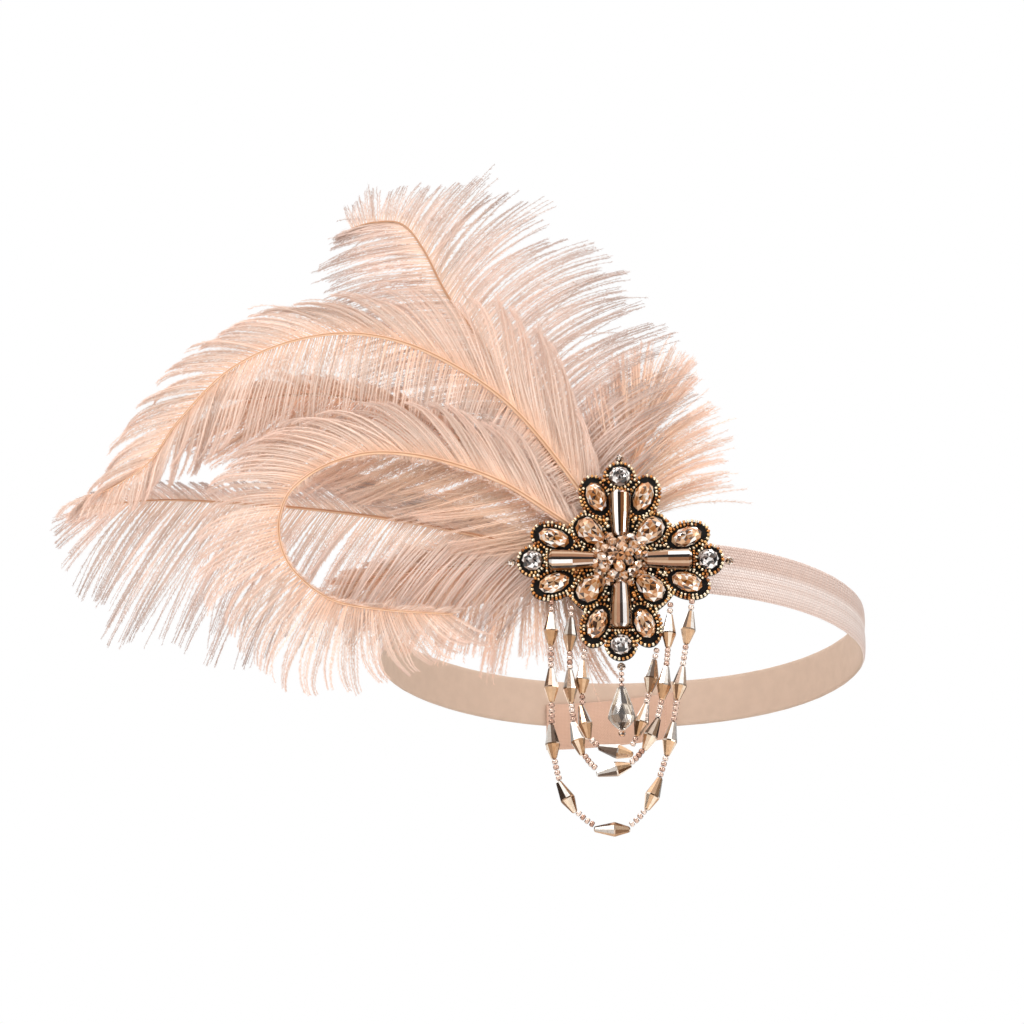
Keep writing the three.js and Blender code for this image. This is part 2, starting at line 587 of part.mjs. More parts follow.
for (const { name, beads, layer } of SWAGS) {
  const { ends, between } = SWAG_ROUTES[name];
  const [first, last] = ends.map((across) => [across * LOBE_CENTRE, edgeBelow(across * LOBE_CENTRE)]);
  const hanging = between.map(([across, up]) => [across * LOBE_CENTRE, tipBottom + up * SWAG_HANG]);
  const route = [first, ...hanging, last].map(
    ([across, up]) => new THREE.Vector3(across, stringDepth - layer * SWAG_PITCH, up),
  );
  const path = new THREE.CatmullRomCurve3(route, false, "catmullrom", 0.5);
  addPiece(part, `swag_${name}`, beadString(path, swagStations(path.getLength(), beads)), PINK_SILVER);
}

// Centre drop, hanging from the bead at the lower tip.
function centreDrop() {
  const { thread, length, width, widest, topWidth, footWidth, endBead } = DROP;
  const total = thread + length + endBead;
  const path = new THREE.LineCurve3(
    new THREE.Vector3(0, stringDepth, tipBottom), new THREE.Vector3(0, stringDepth, tipBottom - total),
  );
  const stations = [
    { at: 0, radius: SEED_BEAD / 4 }, { at: SEED_BEAD / 2, radius: SEED_BEAD / 2 },
    { at: thread, radius: SEED_BEAD / 2 }, { at: thread + GAP, radius: topWidth / 2 },
    { at: thread + length * widest, radius: width / 2 }, { at: thread + length, radius: footWidth / 2 },
    { at: thread + length + endBead / 2, radius: endBead / 2 }, { at: total, radius: endBead / 4 },
  ];
  return beadString(path, stations.map((row) => ({ ...row, sides: DROP_SIDES })));
}
addPiece(part, "centre_drop", centreDrop(), CLEAR_CHAMPAGNE);

// A row of a table at a share of the way, between the two rows beside it.
function rowAt(rows, at) {
  const next = Math.max(1, rows.findIndex((row) => row.at >= at));
  const [a, b] = [rows[next - 1], rows[next]];
  const mix = (at - a.at) / (b.at - a.at);
  return Object.fromEntries(Object.keys(a).map((key) => [key, a[key] + (b[key] - a[key]) * mix]));
}

// Depth of a plume's sheet at a point: its layer on the pad, then forward as the plume fans out.
function sheetDepth(plume, x, z) {
  const out = Math.min(1, Math.max(0, Math.hypot(x, z + MEDALLION_DROP) - PAD_RADIUS) / FAN_REACH);
  const ease = out * out * (3 - 2 * out);
  return padBack - (plume.layer + 0.5) * LAYER_PITCH - plume.forward * LONGEST_PLUME * ease;
}

function sheetPoint(plume, x, z, towardsViewer) {
  return new THREE.Vector3(x, sheetDepth(plume, x, z) - towardsViewer, z);
}

// A barb's point: it starts on the quill, and its heading turns evenly from the first to the last.
function barbPoint(start, { length, from, to }, share) {
  const steps = 6;
  let [x, z] = [start.x, start.z];
  for (let i = 0; i < steps; i++) {
    const heading = radians(from + (to - from) * share * ((i + 0.5) / steps));
    x += ((length * share) / steps) * Math.cos(heading);
    z += ((length * share) / steps) * Math.sin(heading);
  }
  return { x, z };
}

// A plume: its quill as a ridge, and on each side a vane cut into locks that run free at their ends.
function plumeBody(plume) {
  const length = plume.size * LONGEST_PLUME;
  const knots = plume.route.map(
    ({ out, up }) => new THREE.Vector3(out * length, 0, up * length - MEDALLION_DROP),
  );
  const rootWay = knots[0].clone().setZ(knots[0].z + MEDALLION_DROP).normalize();
  const root = rootWay.multiplyScalar(PAD_RADIUS + GAP);
  root.z -= MEDALLION_DROP;
  const quill = new THREE.CatmullRomCurve3([root, ...knots], false, "catmullrom", 0.5);
  const points = [];
  const faces = [];
  const put = (x, z, towardsViewer) => points.push(sheetPoint(plume, x, z, towardsViewer)) - 1;
  const quad = (a, b, c, d) => faces.push([a, b, c], [a, c, d]);
  const half = VANE_THICKNESS / 2;

  // Stations on the quill: its front and back ridge, and on each side the vane's base and fused part.
  const stations = [];
  for (let i = 0; i <= plume.locks; i++) {
    const at = i / plume.locks;
    const middle = quill.getPointAt(at);
    const tangent = quill.getTangentAt(at);
    const radius = THREE.MathUtils.lerp(QUILL_ROOT_DIAMETER, QUILL_TIP_DIAMETER, at) / 2;
    const row = rowAt(plume.vane, at);
    const sides = ["right", "left"].map((side, index) => {
      const way = index === 0 ? 1 : -1;
      const base = { x: middle.x + way * tangent.z * radius, z: middle.z - way * tangent.x * radius };
      const barb = { length: row[side] * length, from: row[`${side}From`], to: row[`${side}To`] };
      const fused = barbPoint(base, barb, LOCK_FUSED);
      return {
        baseFront: put(base.x, base.z, half * 0.8), baseBack: put(base.x, base.z, -half * 0.8),
        fusedFront: put(fused.x, fused.z, half), fusedBack: put(fused.x, fused.z, -half), base, barb,
      };
    });
    stations.push({ front: put(middle.x, middle.z, radius), back: put(middle.x, middle.z, -radius), sides });
  }

  for (let i = 0; i < plume.locks; i++) {
    const [here, next] = [stations[i], stations[i + 1]];
    here.sides.forEach((a, index) => {
      const b = next.sides[index];
      const flip = index === 1;
      const skin = (p, q, r, s) => (flip ? quad(s, r, q, p) : quad(p, q, r, s));
      skin(here.front, next.front, b.baseFront, a.baseFront);
      skin(a.baseBack, b.baseBack, next.back, here.back);
      skin(a.baseFront, b.baseFront, b.fusedFront, a.fusedFront);
      skin(a.fusedBack, b.fusedBack, b.baseBack, a.baseBack);
      // The free end of the lock, from its neck to its point. Every third lock is a little shorter.
      const short = 1 - 0.08 * (i % 3);
      const neckA = barbPoint(a.base, a.barb, LOCK_NECK * short);
      const neckB = barbPoint(b.base, b.barb, LOCK_NECK * short);
      const mix = (p, q, share) => ({ x: p.x + (q.x - p.x) * share, z: p.z + (q.z - p.z) * share });
      const [left, right] = [mix(neckA, neckB, 0.24), mix(neckA, neckB, 0.76)];
      const tip = mix(barbPoint(a.base, a.barb, short), barbPoint(b.base, b.barb, short), 0.5);
      const thin = half * 0.7;
      const [leftFront, leftBack] = [put(left.x, left.z, thin), put(left.x, left.z, -thin)];
      const [rightFront, rightBack] = [put(right.x, right.z, thin), put(right.x, right.z, -thin)];
      const point = put(tip.x, tip.z, 0);
      const face = (p, q, r) => faces.push(flip ? [r, q, p] : [p, q, r]);
      skin(a.fusedFront, b.fusedFront, rightFront, leftFront);
      skin(leftBack, rightBack, b.fusedBack, a.fusedBack);
      face(leftFront, rightFront, point);
      face(rightBack, leftBack, point);
      skin(a.fusedFront, leftFront, leftBack, a.fusedBack);
      skin(b.fusedBack, rightBack, rightFront, b.fusedFront);
      face(leftFront, point, leftBack);
      face(rightBack, point, rightFront);
    });
  }

  // The two ends of the quill and the outer edges of the first and last lock.
  [stations[0], stations[plume.locks]].forEach((end, atTip) => {
    end.sides.forEach((side, index) => {
      const flip = (index === 1) !== (atTip === 1);
      const wall = (p, q, r, s) => (flip ? quad(s, r, q, p) : quad(p, q, r, s));
      wall(end.front, side.baseFront, side.baseBack, end.back);
      wall(side.baseFront, side.fusedFront, side.fusedBack, side.baseBack);
    });
  });
  return closedSurface(points, faces);
}
for (const plume of PLUMES) {
  addPiece(part, plume.name, plumeBody(plume), PLUME);
}

export default part;
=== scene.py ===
"""Flapper feather headband: a stretch satin head loop, a jewelled cross on black felt with hanging bead
swags, and a fan of ostrich plumes. The sections follow the piece as it is put together, from the loop
outwards. Sizes are in millimetres unless a name says otherwise, and each mesh is scaled to metres as it is
made."""

import math

import bpy
import numpy as np
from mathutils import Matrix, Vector


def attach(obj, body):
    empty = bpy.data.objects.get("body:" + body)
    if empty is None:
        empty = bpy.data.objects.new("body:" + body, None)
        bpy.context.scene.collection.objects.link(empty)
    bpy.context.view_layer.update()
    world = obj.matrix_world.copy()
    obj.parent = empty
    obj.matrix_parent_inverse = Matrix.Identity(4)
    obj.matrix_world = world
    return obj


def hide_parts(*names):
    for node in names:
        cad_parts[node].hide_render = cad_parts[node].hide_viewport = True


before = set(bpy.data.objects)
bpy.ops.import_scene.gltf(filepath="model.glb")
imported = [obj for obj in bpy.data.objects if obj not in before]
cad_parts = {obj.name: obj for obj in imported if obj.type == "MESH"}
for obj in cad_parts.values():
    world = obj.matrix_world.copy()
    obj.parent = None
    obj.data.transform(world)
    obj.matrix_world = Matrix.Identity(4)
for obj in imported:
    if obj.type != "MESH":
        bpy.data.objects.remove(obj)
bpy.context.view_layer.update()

# Head loop. A fold-over stretch satin strip, closed to a ring that sits round the head. Its outer side is
# shiny and creased along the middle, where it folds, and its inner side is a smooth, matte knit.
LOOP_HALF_WIDTH, LOOP_HALF_DEPTH = 83.0, 88.0
BAND_WIDTH, BAND_THICKNESS, BAND_EDGE = 17.0, 1.5, 0.55
BAND_STEPS, RIB_SLANT = 420, 0.6
TO_METRES = 0.001


def grid_faces(rows, columns, round_rows=False, round_columns=False):
    """Four-cornered faces of a grid of points numbered row by row. A direction that goes round joins its last
    line of points to its first."""
    i = np.arange(rows if round_rows else rows - 1)[:, None]
    j = np.arange(columns if round_columns else columns - 1)[None, :]
    k, right = (i + 1) % rows, (j + 1) % columns
    corners = [i * columns + j, i * columns + right, k * columns + right, k * columns + j]
    return np.stack(np.broadcast_arrays(*corners), -1).reshape(-1, 4)


def close_ends(rings, sides):
    """Faces of a tube whose points are numbered ring by ring: its sides, then its first and its last end."""
    first = np.arange(sides)[None, :]
    return [grid_faces(rings, sides, False, True), first[:, ::-1], first + (rings - 1) * sides]


def close_poles(grid):
    """Points and faces of a body whose rows of points each run from one pole to the other: a pole is one
    corner. The rows run up and follow one another counterclockwise, and the faces point outwards."""
    around, columns = grid.shape[0], grid.shape[1] - 2
    inner = grid[:, 1:-1].reshape(-1, 3)
    row = np.arange(around) * columns
    next_row = np.roll(row, -1)
    first, last = np.full(around, len(inner)), np.full(around, len(inner) + 1)
    fans = [np.stack([next_row, row, first], -1),
            np.stack([next_row + columns - 1, last, row + columns - 1], -1)]
    sides = grid_faces(around, columns, True, False)[:, ::-1]
    return np.vstack([inner, grid[0, 0], grid[0, -1]]), [sides, *fans]


def as_blocks(faces):
    """Faces as a list of arrays, one for each number of corners."""
    return faces if isinstance(faces, list) else [faces]


def new_piece(name, points, faces, finishes, smooth=True, finish_of_face=None, uv=None, **marks):
    """A mesh object. points is an array in millimetres, faces one array or a list of arrays of corner
    numbers, uv the cloth's map with a place a point or a place for each corner of each face, and each mark is
    an attribute with one value a point or, if it has as many values as there are faces, one a face."""
    faces = as_blocks(faces)
    corners = np.concatenate([block.ravel() for block in faces]).astype(np.int32)
    sizes = np.concatenate([np.full(len(block), block.shape[1]) for block in faces])
    mesh = bpy.data.meshes.new(name)
    mesh.vertices.add(len(points))
    mesh.vertices.foreach_set("co", (np.asarray(points, float) * TO_METRES).astype(np.float32).ravel())
    mesh.loops.add(len(corners))
    mesh.loops.foreach_set("vertex_index", corners)
    mesh.polygons.add(len(sizes))
    mesh.polygons.foreach_set("loop_start", (np.cumsum(sizes) - sizes).astype(np.int32))
    mesh.polygons.foreach_set("use_smooth", np.full(len(sizes), smooth))
    if finish_of_face is not None:
        mesh.polygons.foreach_set("material_index", np.asarray(finish_of_face, np.int32))
    mesh.update(calc_edges=True)
    if uv is not None:
        layer = mesh.uv_layers.new(name="cloth")
        uv = np.asarray(uv, np.float32)
        layer.data.foreach_set("uv", (uv if len(uv) == len(corners) else uv[corners]).ravel())
    for mark, values in marks.items():
        place = "FACE" if len(values) == len(sizes) else "POINT"
        attribute = mesh.attributes.new(mark, "FLOAT", place)
        attribute.data.foreach_set("value", np.asarray(values, np.float32))
    for finish in finishes if isinstance(finishes, list) else [finishes]:
        mesh.materials.append(finish)
    piece = bpy.data.objects.new(name, mesh)
    bpy.context.scene.collection.objects.link(piece)
    return piece


def fit(piece, slot, *nodes, body="headpiece"):
    """The piece moves with a body and stands for the named solids, which it hides. slot is not used."""
    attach(piece, body)
    if nodes:
        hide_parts(*nodes)


def add_node(tree, kind, links=(), **settings):
    """A node with its settings. links maps a socket's name or number to a value or another node's output."""
    node = tree.nodes.new(kind)
    for setting, value in settings.items():
        setattr(node, setting, value)
    for socket, value in dict(links).items():
        if isinstance(value, bpy.types.NodeSocket):
            tree.links.new(value, node.inputs[socket])
        else:
            node.inputs[socket].default_value = value
    return node


def math_node(tree, operation, *values):
    """The output of one Math node."""
    return add_node(tree, "ShaderNodeMath", dict(enumerate(values)), operation=operation).outputs[0]


def mix_colours(tree, share, first, second, blend="MIX"):
    """The colour at a share from 0 to 1 between two, or the second laid over the first in another way."""
    node = add_node(tree, "ShaderNodeMix", {0: share, 6: first, 7: second}, data_type="RGBA",
                    blend_type=blend)
    return node.outputs[2]


def mark_value(tree, name):
    """The value of a mesh attribute."""
    return add_node(tree, "ShaderNodeAttribute", attribute_name=name).outputs["Fac"]


def object_place(tree):
    """The place on the piece, in metres."""
    return add_node(tree, "ShaderNodeTexCoord").outputs["Object"]


def linear(red, green, blue):
    """A colour given as shown on a screen, 0 to 255, as linear light."""
    shown = np.array([red, green, blue]) / 255.0
    light = np.where(shown <= 0.04045, shown / 12.92, ((shown + 0.055) / 1.055) ** 2.4)
    return (*(float(value) for value in light), 1.0)


def new_finish(name, colour, sockets=()):
    """A material with one surface shader. sockets gives the values that differ from the shader's own."""
    finish = bpy.data.materials.new(name)
    finish.use_nodes = True
    shader = finish.node_tree.nodes["Principled BSDF"]
    shader.inputs["Base Color"].default_value = colour
    for socket, value in dict(sockets).items():
        shader.inputs[socket].default_value = value
    return finish, finish.node_tree, shader


COLOUR, PLACE, VALUE = [(f"NodeSocket{kind}", None) for kind in ("Color", "Vector", "Float")]
WHITE = (1.0, 1.0, 1.0, 1.0)


def new_group(name, inputs, outputs):
    """An empty shader node group with named sockets, its input node and its output node."""
    group = bpy.data.node_groups.new(name, "ShaderNodeTree")
    for direction, sockets in (("INPUT", inputs), ("OUTPUT", outputs)):
        for socket, (kind, value) in sockets.items():
            made = group.interface.new_socket(socket, in_out=direction, socket_type=kind)
            if value is not None:
                made.default_value = value
    return group, group.nodes.new("NodeGroupInput"), group.nodes.new("NodeGroupOutput")


def use_group(tree, group, links):
    """The outputs of a node group placed in a material."""
    return add_node(tree, "ShaderNodeGroup", links, node_tree=group).outputs


def make_weave():
    """Threads over and under each other: the height is the hump of one thread or of the other, chosen by a
    chequer, and the colour is that of the threads with painted shade, a darker colour, in the gaps between
    them."""
    group, given, out = new_group(
        "thread_weave",
        {"Place": PLACE, "Threads": ("NodeSocketFloat", 1.0),
         "Colour": COLOUR, "Gap Shade Colour": COLOUR},
        {"Colour": COLOUR, "Height": VALUE},
    )
    place = add_node(group, "ShaderNodeVectorMath", {0: given.outputs["Place"]}, operation="SCALE")
    group.links.new(given.outputs["Threads"], place.inputs["Scale"])
    parts = add_node(group, "ShaderNodeSeparateXYZ", {0: place.outputs[0]})
    humps = []
    for axis in (0, 1):
        turn = math_node(group, "MULTIPLY", parts.outputs[axis], math.pi)
        humps.append(math_node(group, "ABSOLUTE", math_node(group, "SINE", turn)))
    chequer = add_node(group, "ShaderNodeTexChecker", {"Vector": place.outputs[0], "Scale": 1.0})
    height = add_node(group, "ShaderNodeMix", {0: chequer.outputs["Fac"], 2: humps[0], 3: humps[1]})
    colour = mix_colours(group, height.outputs[0], given.outputs["Gap Shade Colour"], given.outputs["Colour"])
    group.links.new(colour, out.inputs["Colour"])
    group.links.new(height.outputs[0], out.inputs["Height"])
    return group


def make_mottle():
    """Soft unevenness of dye and wear: noise lightens and darkens a colour and shifts a value by a little."""
    group, given, out = new_group(
        "soft_mottle",
        {"Place": PLACE, "Scale": ("NodeSocketFloat", 60.0),
         "Colour": COLOUR, "Other Colour": COLOUR,
         "Value": ("NodeSocketFloat", 0.5), "Spread": ("NodeSocketFloat", 0.1)},
        {"Colour": COLOUR, "Value": VALUE},
    )
    noise = add_node(group, "ShaderNodeTexNoise", {"Vector": given.outputs["Place"], "Detail": 3.0})
    group.links.new(given.outputs["Scale"], noise.inputs["Scale"])
    share = add_node(group, "ShaderNodeMapRange", {0: noise.outputs["Fac"], 1: 0.35, 2: 0.65}).outputs[0]
    colour = mix_colours(group, share, given.outputs["Colour"], given.outputs["Other Colour"])
    shift = math_node(group, "MULTIPLY", math_node(group, "SUBTRACT", share, 0.5), given.outputs["Spread"])
    group.links.new(colour, out.inputs["Colour"])
    group.links.new(math_node(group, "ADD", given.outputs["Value"], shift), out.inputs["Value"])
    return group


WEAVE, MOTTLE = make_weave(), make_mottle()


def cloth_finish(name, colour, gap_shade, roughness, threads, depth, sockets=(), fold=WHITE):
    """Woven cloth: threads from the cloth's own map, in threads a millimetre, with uneven dye and gloss, and
    painted shade in the gaps between the threads. The last argument is the painted shade in the folds: what
    the colour is multiplied by where the piece's mark of that name is 0."""
    finish, tree, shader = new_finish(name, linear(*colour), sockets)
    place = add_node(tree, "ShaderNodeUVMap", uv_map="cloth").outputs[0]
    wide = object_place(tree)
    other = [value * 0.97 for value in colour]
    dye = use_group(tree, MOTTLE, {"Place": wide, "Scale": 240.0, "Colour": linear(*colour),
                                   "Other Colour": linear(*other), "Value": roughness, "Spread": 0.12})
    # Painted shade: the gaps between the threads take the darker gap colour.
    threads_out = use_group(tree, WEAVE, {"Place": place, "Threads": threads, "Colour": dye["Colour"],
                                          "Gap Shade Colour": linear(*gap_shade)})
    bump = add_node(tree, "ShaderNodeBump", {"Strength": 0.9, "Distance": depth * TO_METRES,
                                             "Height": threads_out["Height"]})
    # Painted shade: the colour is darkened where the piece's mark falls towards 0.
    shaded_colour = mix_colours(tree, mark_value(tree, "fold"), fold, WHITE)
    shaded_colour = mix_colours(tree, 1.0, threads_out["Colour"], shaded_colour, "MULTIPLY")
    tree.links.new(shaded_colour, shader.inputs["Base Color"])
    tree.links.new(dye["Value"], shader.inputs["Roughness"])
    tree.links.new(bump.outputs[0], shader.inputs["Normal"])
    return finish


def loop_points(angle, outward, height):
    """Points of the loop's ellipse at an angle, moved outwards along its normal and up."""
    x, y = LOOP_HALF_WIDTH * np.cos(angle), LOOP_HALF_DEPTH * np.sin(angle)
    nx, ny = x / LOOP_HALF_WIDTH**2, y / LOOP_HALF_DEPTH**2
    size = np.hypot(nx, ny)
    return np.stack(np.broadcast_arrays(x + outward * nx / size, y + outward * ny / size, height), -1)


def band_section(width, thickness, edge, crease, steps=14):
    """Outline of the strip across its width, as outward and height. The outer side is two low humps, each
    half an oval high above the edge, with the crease between them, and the inner side is flat with rounded
    edges."""
    height = np.linspace(-0.5, 0.5, 2 * steps + 1) * width
    share = (np.abs(height) - width / 4) / (width / 4)
    hump = np.sqrt(np.clip(1 - share**2, 0, 1)) ** 0.7
    floor = np.where(np.abs(height) < width / 4, thickness / 2 - crease, -thickness / 2 + edge)
    outer = floor + (thickness / 2 - floor) * hump
    inner_height = np.linspace(0.5, -0.5, steps) * (width - 0.5)
    inner = np.full(steps, -thickness / 2)
    inner[[0, -1]] += 0.12
    return np.concatenate([outer, inner]), np.concatenate([height, inner_height]), 2 * steps + 1


outward, height, outer_count = band_section(BAND_WIDTH, BAND_THICKNESS, BAND_EDGE, 0.5)
# The map of the weave starts and ends at the back.
map_turn = math.pi / 2 + np.linspace(0, 2 * math.pi, BAND_STEPS + 1)
turn = map_turn[:-1]
# The stretched cloth ripples a little, more towards its edges.
ripple = 0.1 * np.sin(turn * 31)[:, None] * (height / BAND_WIDTH) + 0.06 * np.sin(turn * 57 + 1.3)[:, None]
sway = 0.16 * np.sin(turn * 5 + 0.6)[:, None] * np.ones_like(height)
band = loop_points(turn[:, None], outward + ripple * 0.5, height + sway)
band_round = 2 * math.pi * (LOOP_HALF_WIDTH + LOOP_HALF_DEPTH) / 2
across = np.concatenate([height[:outer_count], BAND_WIDTH + height[outer_count:]])
# The ribs of the satin lean, so its map is slanted.
band_map = np.stack(np.broadcast_arrays(
    map_turn[:, None] / (2 * math.pi) * band_round + RIB_SLANT * across, across), -1).reshape(-1, 2)
# Painted shade across the strip: the colour is darkened over the upper half, which is folded in behind the
# middle ridge, in a thin line below the ridge and towards the lower edge, and left full on the ridge, which
# catches the light.
fold = np.interp(height / BAND_WIDTH, [-0.5, -0.42, -0.25, -0.14, -0.06, 0.02, 0.09, 0.16, 0.3, 0.42, 0.5],
                 [0.4, 0.55, 0.9, 0.5, 1.0, 1.0, 0.2, 0.05, 0.25, 0.1, 0.45])
band_faces = grid_faces(BAND_STEPS, len(height), True, True)[:, ::-1]
band_map = band_map[grid_faces(BAND_STEPS + 1, len(height), False, True)[:, ::-1].ravel()]
side_of_face = np.broadcast_to((np.arange(len(height)) >= outer_count - 1)[None, :],
                               (BAND_STEPS, len(height)))
BLUSH_SATIN = cloth_finish("blush_satin", (240, 226, 220), (206, 178, 168), 0.4, 1.0, 0.2, {
    "Sheen Weight": 0.25, "Sheen Roughness": 0.4}, fold=(0.78, 0.66, 0.6, 1.0))
BEIGE_LINING = cloth_finish("beige_lining", (209, 183, 164), (194, 167, 147), 0.62, 2.4, 0.06)
satin_band = new_piece("satin_band", band.reshape(-1, 3), band_faces, [BLUSH_SATIN, BEIGE_LINING],
                       finish_of_face=side_of_face.ravel(), uv=band_map,
                       fold=np.tile(fold, BAND_STEPS))
fit(satin_band, "satin_band", "headband")

# Back join. The loop's free end laps over its start inside the back, a little lower and slanted, and is sewn
# down with a close row of stitches near each end.
JOIN_LENGTH, JOIN_THICKNESS, JOIN_DROP, JOIN_SIDEWAYS, JOIN_RISE = 48.0, 1.2, 7.0, -4.5, math.radians(6)
JOIN_STEPS = 60
JOIN_OUTWARD = -BAND_THICKNESS / 2 - 0.3


def join_points(along, outward, height):
    """Points of the lapped end: along runs from the middle of the lap, and height across the strip."""
    angle = math.pi / 2 - (along + JOIN_SIDEWAYS) / LOOP_HALF_WIDTH
    return loop_points(angle, outward, height + along * math.tan(JOIN_RISE) - JOIN_DROP)


half = BAND_WIDTH / 2
rounded = 0.3
# The lap's section is a strip with its corners cut, as outward and height.
section = np.array([
    [0, -half + rounded], [0, half - rounded], [-rounded, half], [-JOIN_THICKNESS + rounded, half],
    [-JOIN_THICKNESS, half - rounded], [-JOIN_THICKNESS, -half + rounded], [-JOIN_THICKNESS + rounded, -half],
    [-rounded, -half],
])
along = np.linspace(-0.5, 0.5, JOIN_STEPS) * JOIN_LENGTH
lap = join_points(along[:, None], JOIN_OUTWARD + section[:, 0], section[:, 1])
lap_map = np.stack(np.broadcast_arrays(along[:, None], section[:, 1] + section[:, 0]), -1).reshape(-1, 2)
DEEP_SATIN = cloth_finish("deep_satin", (212, 172, 148), (188, 146, 124), 0.5, 1.9, 0.08,
                          {"Sheen Weight": 0.2})
lapped_end = new_piece("lapped_end", lap.reshape(-1, 3), close_ends(JOIN_STEPS, len(section)), DEEP_SATIN,
                       uv=lap_map)
fit(lapped_end, "satin_join", "back_join")


def scatter(points, faces, origins, axes, sizes=1.0):
    """Copies of a small shape: each point is the origin plus its coordinates along that copy's three axes."""
    sizes = np.broadcast_to(np.asarray(sizes, float), len(origins))
    placed = origins[:, None, :] + np.einsum("kc,ncd->nkd", points, axes) * sizes[:, None, None]
    step = len(points) * np.arange(len(origins))[:, None, None]
    blocks = [(block[None] + step).reshape(-1, block.shape[1]) for block in as_blocks(faces)]
    return placed.reshape(-1, 3), blocks


def round_bead(hole=0.28, around=8, rows=5):
    """A seed bead of unit diameter about the third axis: a ring whose section is a rounded square, so it is a
    flattened ball with a hole."""
    turn = np.linspace(0, 2 * math.pi, around, endpoint=False)[:, None]
    lean = np.linspace(0, 2 * math.pi, rows, endpoint=False)[None, :]
    thick = (0.5 - hole * 0.5) / 2
    radius = 0.5 - thick + thick * np.cos(lean)
    tall = 0.36 * np.sin(lean) + 0 * turn
    points = np.stack([radius * np.cos(turn), radius * np.sin(turn), tall], -1)
    return points.reshape(-1, 3), grid_faces(around, rows, True, True)[:, ::-1]


def frames_along(tangent, side):
    """Three axes for each direction: two across it, and itself. side is a direction roughly across."""
    third = tangent / np.linalg.norm(tangent, axis=-1, keepdims=True)
    first = np.cross(side, third)
    first /= np.linalg.norm(first, axis=-1, keepdims=True)
    return np.stack([first, np.cross(third, first), third], 1)


# Stitches: short slanted threads across the lap, each a thin bead of thread.
ROW_STITCHES, ROW_INSET, EDGE_INSET, STITCH_RADIUS, STITCH_HALF = 15, 3.0, 1.2, 0.17, 0.62
stitch_at = np.repeat([ROW_INSET - JOIN_LENGTH / 2, JOIN_LENGTH / 2 - ROW_INSET], ROW_STITCHES)
stitch_up = np.tile(np.linspace(EDGE_INSET - half, half - EDGE_INSET, ROW_STITCHES), 2)
stitch_place = join_points(stitch_at, JOIN_OUTWARD - JOIN_THICKNESS - 0.02, stitch_up)
stitch_way = join_points(stitch_at + 0.35, JOIN_OUTWARD - JOIN_THICKNESS, stitch_up + 0.5) - stitch_place
stitch_turn = np.arange(6)[:, None] / 6 * 2 * math.pi
stitch_lean = np.linspace(-0.5, 0.5, 7)[None, :] * math.pi
stitch_reach = STITCH_RADIUS * np.cos(stitch_lean)
stitch_shape, stitch_faces = close_poles(np.stack(np.broadcast_arrays(
    stitch_reach * np.cos(stitch_turn), stitch_reach * np.sin(stitch_turn),
    STITCH_HALF * np.sin(stitch_lean)), -1))
stitches, stitch_blocks = scatter(
    stitch_shape, stitch_faces, stitch_place, frames_along(stitch_way, np.array([0.0, 1.0, 0.0])))
THREAD = cloth_finish("sewing_thread", (236, 200, 178), (200, 160, 140), 0.6, 6.0, 0.03)
lap_stitches = new_piece("lap_stitches", stitches, stitch_blocks, THREAD, uv=stitches[:, [0, 2]])
fit(lap_stitches, "satin_join")

# Quill pad. A stack of thick black felt discs between the loop and the cross, in which the quills' ends are
# sewn.
GAP, PAD_RADIUS, PAD_THICKNESS, MEDALLION_DROP = 0.3, 12.5, 10.6, 2.9
PAD_BACK = -(LOOP_HALF_DEPTH + BAND_THICKNESS / 2) - GAP
FELT_BACK = PAD_BACK - PAD_THICKNESS - GAP
PAD_LAYERS, PAD_GROOVE = 5, 0.35
profile = [(0.0, 0.0), (PAD_RADIUS - PAD_GROOVE, 0.0)]
for layer in range(PAD_LAYERS):
    low, thick = layer * PAD_THICKNESS / PAD_LAYERS, PAD_THICKNESS / PAD_LAYERS
    profile += [(PAD_RADIUS, low + thick * 0.25), (PAD_RADIUS, low + thick * 0.75),
                (PAD_RADIUS - PAD_GROOVE, low + thick)]
profile = np.array(profile + [(0.0, PAD_THICKNESS)])
turn = np.linspace(0, 2 * math.pi, 72, endpoint=False)[:, None]
pad = np.stack(np.broadcast_arrays(
    profile[:, 0] * np.cos(turn), PAD_BACK - profile[:, 1], profile[:, 0] * np.sin(turn) - MEDALLION_DROP),
    -1)


def felt_finish(name, colour, roughness):
    """Pressed felt: matted fibres as fine noise in height, with paler fibre ends and a dusty sheen."""
    finish, tree, shader = new_finish(name, linear(*colour), {
        "Sheen Weight": 0.06, "Sheen Roughness": 0.6, "Specular IOR Level": 0.2})
    place = object_place(tree)
    dye = use_group(tree, MOTTLE, {"Place": place, "Scale": 2600.0, "Colour": linear(*colour), "Other Colour":
                                   linear(*[value + 12 for value in colour]), "Value": roughness,
                                   "Spread": 0.1})
    fibres = add_node(tree, "ShaderNodeTexNoise", {"Vector": place, "Scale": 4200.0, "Detail": 4.0})
    bump = add_node(tree, "ShaderNodeBump", {"Strength": 0.8, "Distance": 0.0002,
                                             "Height": fibres.outputs["Fac"]})
    tree.links.new(dye["Colour"], shader.inputs["Base Color"])
    tree.links.new(dye["Value"], shader.inputs["Roughness"])
    tree.links.new(bump.outputs[0], shader.inputs["Normal"])
    return finish


BLACK_FELT = felt_finish("black_felt", (17, 14, 13), 0.95)
felt_pad = new_piece("felt_pad", *close_poles(pad), BLACK_FELT)
fit(felt_pad, "black_felt", "quill_pad")

